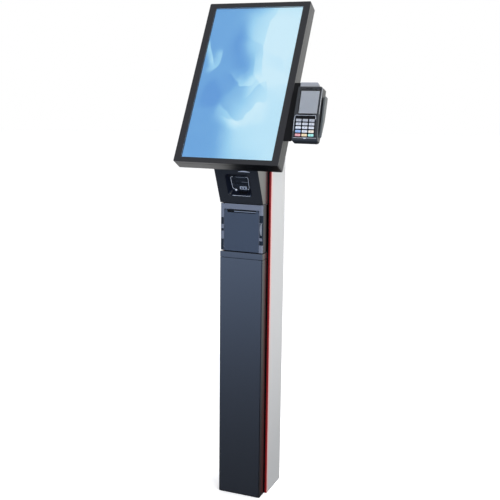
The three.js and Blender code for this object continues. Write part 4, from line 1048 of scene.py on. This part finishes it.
# keys: dished silicone caps with printed numerals
KW, KH = 16.4, 7.6
COLS = [-23.2, -3.0, 17.2]
ROWS = [-16.8 - 10.9 * i for i in range(5)]
NAMES = [["key_1", "key_2", "key_3"], ["key_4", "key_5", "key_6"], ["key_7", "key_8", "key_9"],
         ["key_star", "key_0", "key_hash"], ["key_cancel", "key_clear", "key_enter"]]
LOOK = {"key_star": "key_blue", "key_hash": "key_peach", "key_cancel": "key_red", "key_clear": "key_amber", "key_enter": "key_green"}
SIGN = {"key_star": "*", "key_hash": "#", "key_cancel": "x", "key_clear": "<", "key_enter": "o"}
for r, z in enumerate(ROWS):
    for c, x in enumerate(COLS):
        name = NAMES[r][c]

        def loop(inset, y, rr):
            return [(px, y, pz) for px, pz in rounded(x - KW / 2 + inset, x + KW / 2 - inset, z - KH / 2 + inset, z + KH / 2 - inset, rr, 6)]

        bm = loft([loop(-0.8, 3.8, 1.2), loop(-0.8, 2.9, 1.2), loop(0.02, 2.8, 1.6), loop(0.0, -1.0, 1.6), loop(0.12, -1.6, 1.6), loop(0.45, -2.1, 1.5),
                   loop(0.95, -2.34, 1.35), loop(1.6, -2.38, 1.2), loop(2.5, -2.28, 1.0), loop(3.3, -2.22, 0.45)])
        mt = LOOK.get(name, "key_grey")
        o = mesh_object(bm, name + "_cap", KEYPAD, name, mt, replaces=(name,), weighted=False, sharp=48)
        txt = SIGN.get(name, name[-1])
        size = {"*": 6.6, "x": 5.2, "<": 5.4, "o": 5.0}.get(txt, 4.9)
        mesh_object(glyph(txt, size, x, -2.30, z, 0.05), name + "_legend", KEYPAD, name, "ink", smooth=False, weighted=False)

screws("terminal_back_screws", TERM, "terminal", "steel_dark",
       [((x, 43, z), (0, 1, 0)) for x in (-22, 20) for z in (-40, 66)], 2.6, 1.3)

# ------------------------------------------------------------------ stage, light and camera
def area(name, loc, target, sx, sy, power, color=(1, 1, 1)):
    li = bpy.data.lights.new(name, "AREA")
    li.shape = "RECTANGLE"
    li.size, li.size_y = sx, sy
    li.energy = power
    li.color = color
    ob = bpy.data.objects.new(name, li)
    ob.location = loc
    ob.rotation_mode = "QUATERNION"
    ob.rotation_quaternion = (Vector(target) - Vector(loc)).to_track_quat("-Z", "Y")
    scene.collection.objects.link(ob)
    return ob


area("key_right", (3.3, 0.4, 2.9), (0.0, 0.0, 1.35), 1.2, 1.6, 46)
area("front_fill", (2.3, -2.4, 2.4), (0.2, -0.1, 1.30), 1.2, 1.2, 58)
area("top_rear", (1.0, 1.8, 3.4), (0.0, 0, 1.3), 2.0, 1.4, 40)

# the studio around the object: a soft gradient by height, one for its front half and one for its back half
world = bpy.data.worlds.new("studio")
scene.world = world
world.use_nodes = True
nt = world.node_tree
L = nt.links.new
bg = nt.nodes["Background"]
tc = nt.nodes.new("ShaderNodeTexCoord")
sp = nt.nodes.new("ShaderNodeSeparateXYZ")
L(tc.outputs["Generated"], sp.inputs["Vector"])
mr = nt.nodes.new("ShaderNodeMapRange")
mr.inputs["From Min"].default_value = -1
mr.inputs["From Max"].default_value = 1
L(sp.outputs["Z"], mr.inputs["Value"])


def sky(stops):
    """stops: (elevation in degrees, colour)."""
    rmp = nt.nodes.new("ShaderNodeValToRGB")
    el = rmp.color_ramp.elements
    pos = lambda e: (math.sin(rad(e)) + 1) / 2
    el[0].position, el[0].color = pos(stops[0][0]), (*stops[0][1], 1)
    el[1].position, el[1].color = pos(stops[-1][0]), (*stops[-1][1], 1)
    for e, c in stops[1:-1]:
        q = el.new(pos(e))
        q.color = (*c, 1)
    L(mr.outputs["Result"], rmp.inputs["Fac"])
    return rmp.outputs["Color"]


FRONT = [(-90, (0.16, 0.20, 0.29)), (-46, (0.16, 0.20, 0.29)), (-36, (0.02, 0.02, 0.02)), (-22, (0.045, 0.042, 0.042)), (-17, (0.26, 0.31, 0.42)), (-14, (0.66, 0.92, 1.46)),
         (-11, (1.15, 1.68, 2.85)), (-3, (1.30, 1.62, 2.25)), (12, (0.85, 0.92, 1.03)), (30, (0.55, 0.56, 0.60)), (48, (0.44, 0.44, 0.46)), (70, (0.42, 0.42, 0.43)), (90, (0.5, 0.5, 0.5))]
BACK = [(-90, (0.10, 0.10, 0.10)), (-62, (0.14, 0.14, 0.14)), (-55, (2.0, 2.0, 2.0)), (-44, (2.0, 2.0, 2.0)), (-38, (0.08, 0.08, 0.08)), (-25, (0.01, 0.01, 0.01)),
        (-21, (0.05, 0.05, 0.05)), (-17, (0.32, 0.33, 0.31)), (-12, (0.50, 0.52, 0.50)), (-4, (1.10, 1.12, 1.08)), (10, (1.3, 1.3, 1.28)), (40, (0.8, 0.8, 0.8)), (90, (0.5, 0.5, 0.5))]
side = nt.nodes.new("ShaderNodeMapRange")
side.interpolation_type = "SMOOTHSTEP"
side.inputs["From Min"].default_value = -0.35
side.inputs["From Max"].default_value = 0.45
L(sp.outputs["Y"], side.inputs["Value"])
mixed = nt.nodes.new("ShaderNodeMix")
mixed.data_type = "RGBA"
L(side.outputs["Result"], mixed.inputs[0])
L(sky(FRONT), mixed.inputs[6])
L(sky(BACK), mixed.inputs[7])
L(mixed.outputs[2], bg.inputs["Color"])
bg.inputs["Strength"].default_value = 1.0


def unseen(o, **flags):
    for k, v in flags.items():
        setattr(o, k, v)


# floor, with a soft edge: a pale round plate that meets the pale backdrop
m = bpy.data.materials.new("floor")
m.use_nodes = True
b = m.node_tree.nodes["Principled BSDF"]
b.inputs["Base Color"].default_value = (0.86, 0.86, 0.86, 1)
b.inputs["Roughness"].default_value = 0.9
b.inputs["Specular IOR Level"].default_value = 0.1
b.inputs["Emission Color"].default_value = (1, 1, 1, 1)
b.inputs["Emission Strength"].default_value = 0.45
MATS["floor"] = m
bm = bmesh.new()
bmesh.ops.create_circle(bm, cap_ends=True, radius=24, segments=96)
me = bpy.data.meshes.new("floor")
bm.to_mesh(me)
bm.free()
me.materials.append(m)
floor = bpy.data.objects.new("floor", me)
floor.location = (0, 0, -0.0006)
scene.collection.objects.link(floor)
unseen(floor, visible_glossy=False, visible_diffuse=False, visible_transmission=False)

m = bpy.data.materials.new("backdrop")
m.use_nodes = True
nt = m.node_tree
nt.nodes.remove(nt.nodes["Principled BSDF"])
em = nt.nodes.new("ShaderNodeEmission")
em.inputs["Color"].default_value = (1, 1, 1, 1)
em.inputs["Strength"].default_value = 1.0
nt.links.new(em.outputs["Emission"], nt.nodes["Material Output"].inputs["Surface"])
bm = bmesh.new()
bmesh.ops.create_uvsphere(bm, u_segments=48, v_segments=24, radius=25)
me = bpy.data.meshes.new("backdrop")
bm.to_mesh(me)
bm.free()
me.materials.append(m)
dome = bpy.data.objects.new("backdrop", me)
scene.collection.objects.link(dome)
unseen(dome, visible_glossy=False, visible_diffuse=False, visible_transmission=False, visible_shadow=False)

a, p, r = rad(22.08), rad(10.81), rad(0.67)
fwd = Vector((-math.sin(a) * math.cos(p), math.cos(a) * math.cos(p), -math.sin(p)))
right = Vector((math.cos(a), math.sin(a), 0))
up = right.cross(fwd)
rx = right * math.cos(r) + up * math.sin(r)
ux = -right * math.sin(r) + up * math.cos(r)
cam = bpy.data.cameras.new("camera")
cam.sensor_width = 36
cam.lens = 61.39
cam.clip_start, cam.clip_end = 0.05, 100
co = bpy.data.objects.new("camera", cam)
M = Matrix((rx, ux, -fwd)).transposed().to_4x4()
M.translation = (1.0408, -2.5757, 1.3631)
co.matrix_world = M
scene.collection.objects.link(co)
scene.camera = co
scene.view_settings.view_transform = "Standard"

bpy.context.view_layer.update()
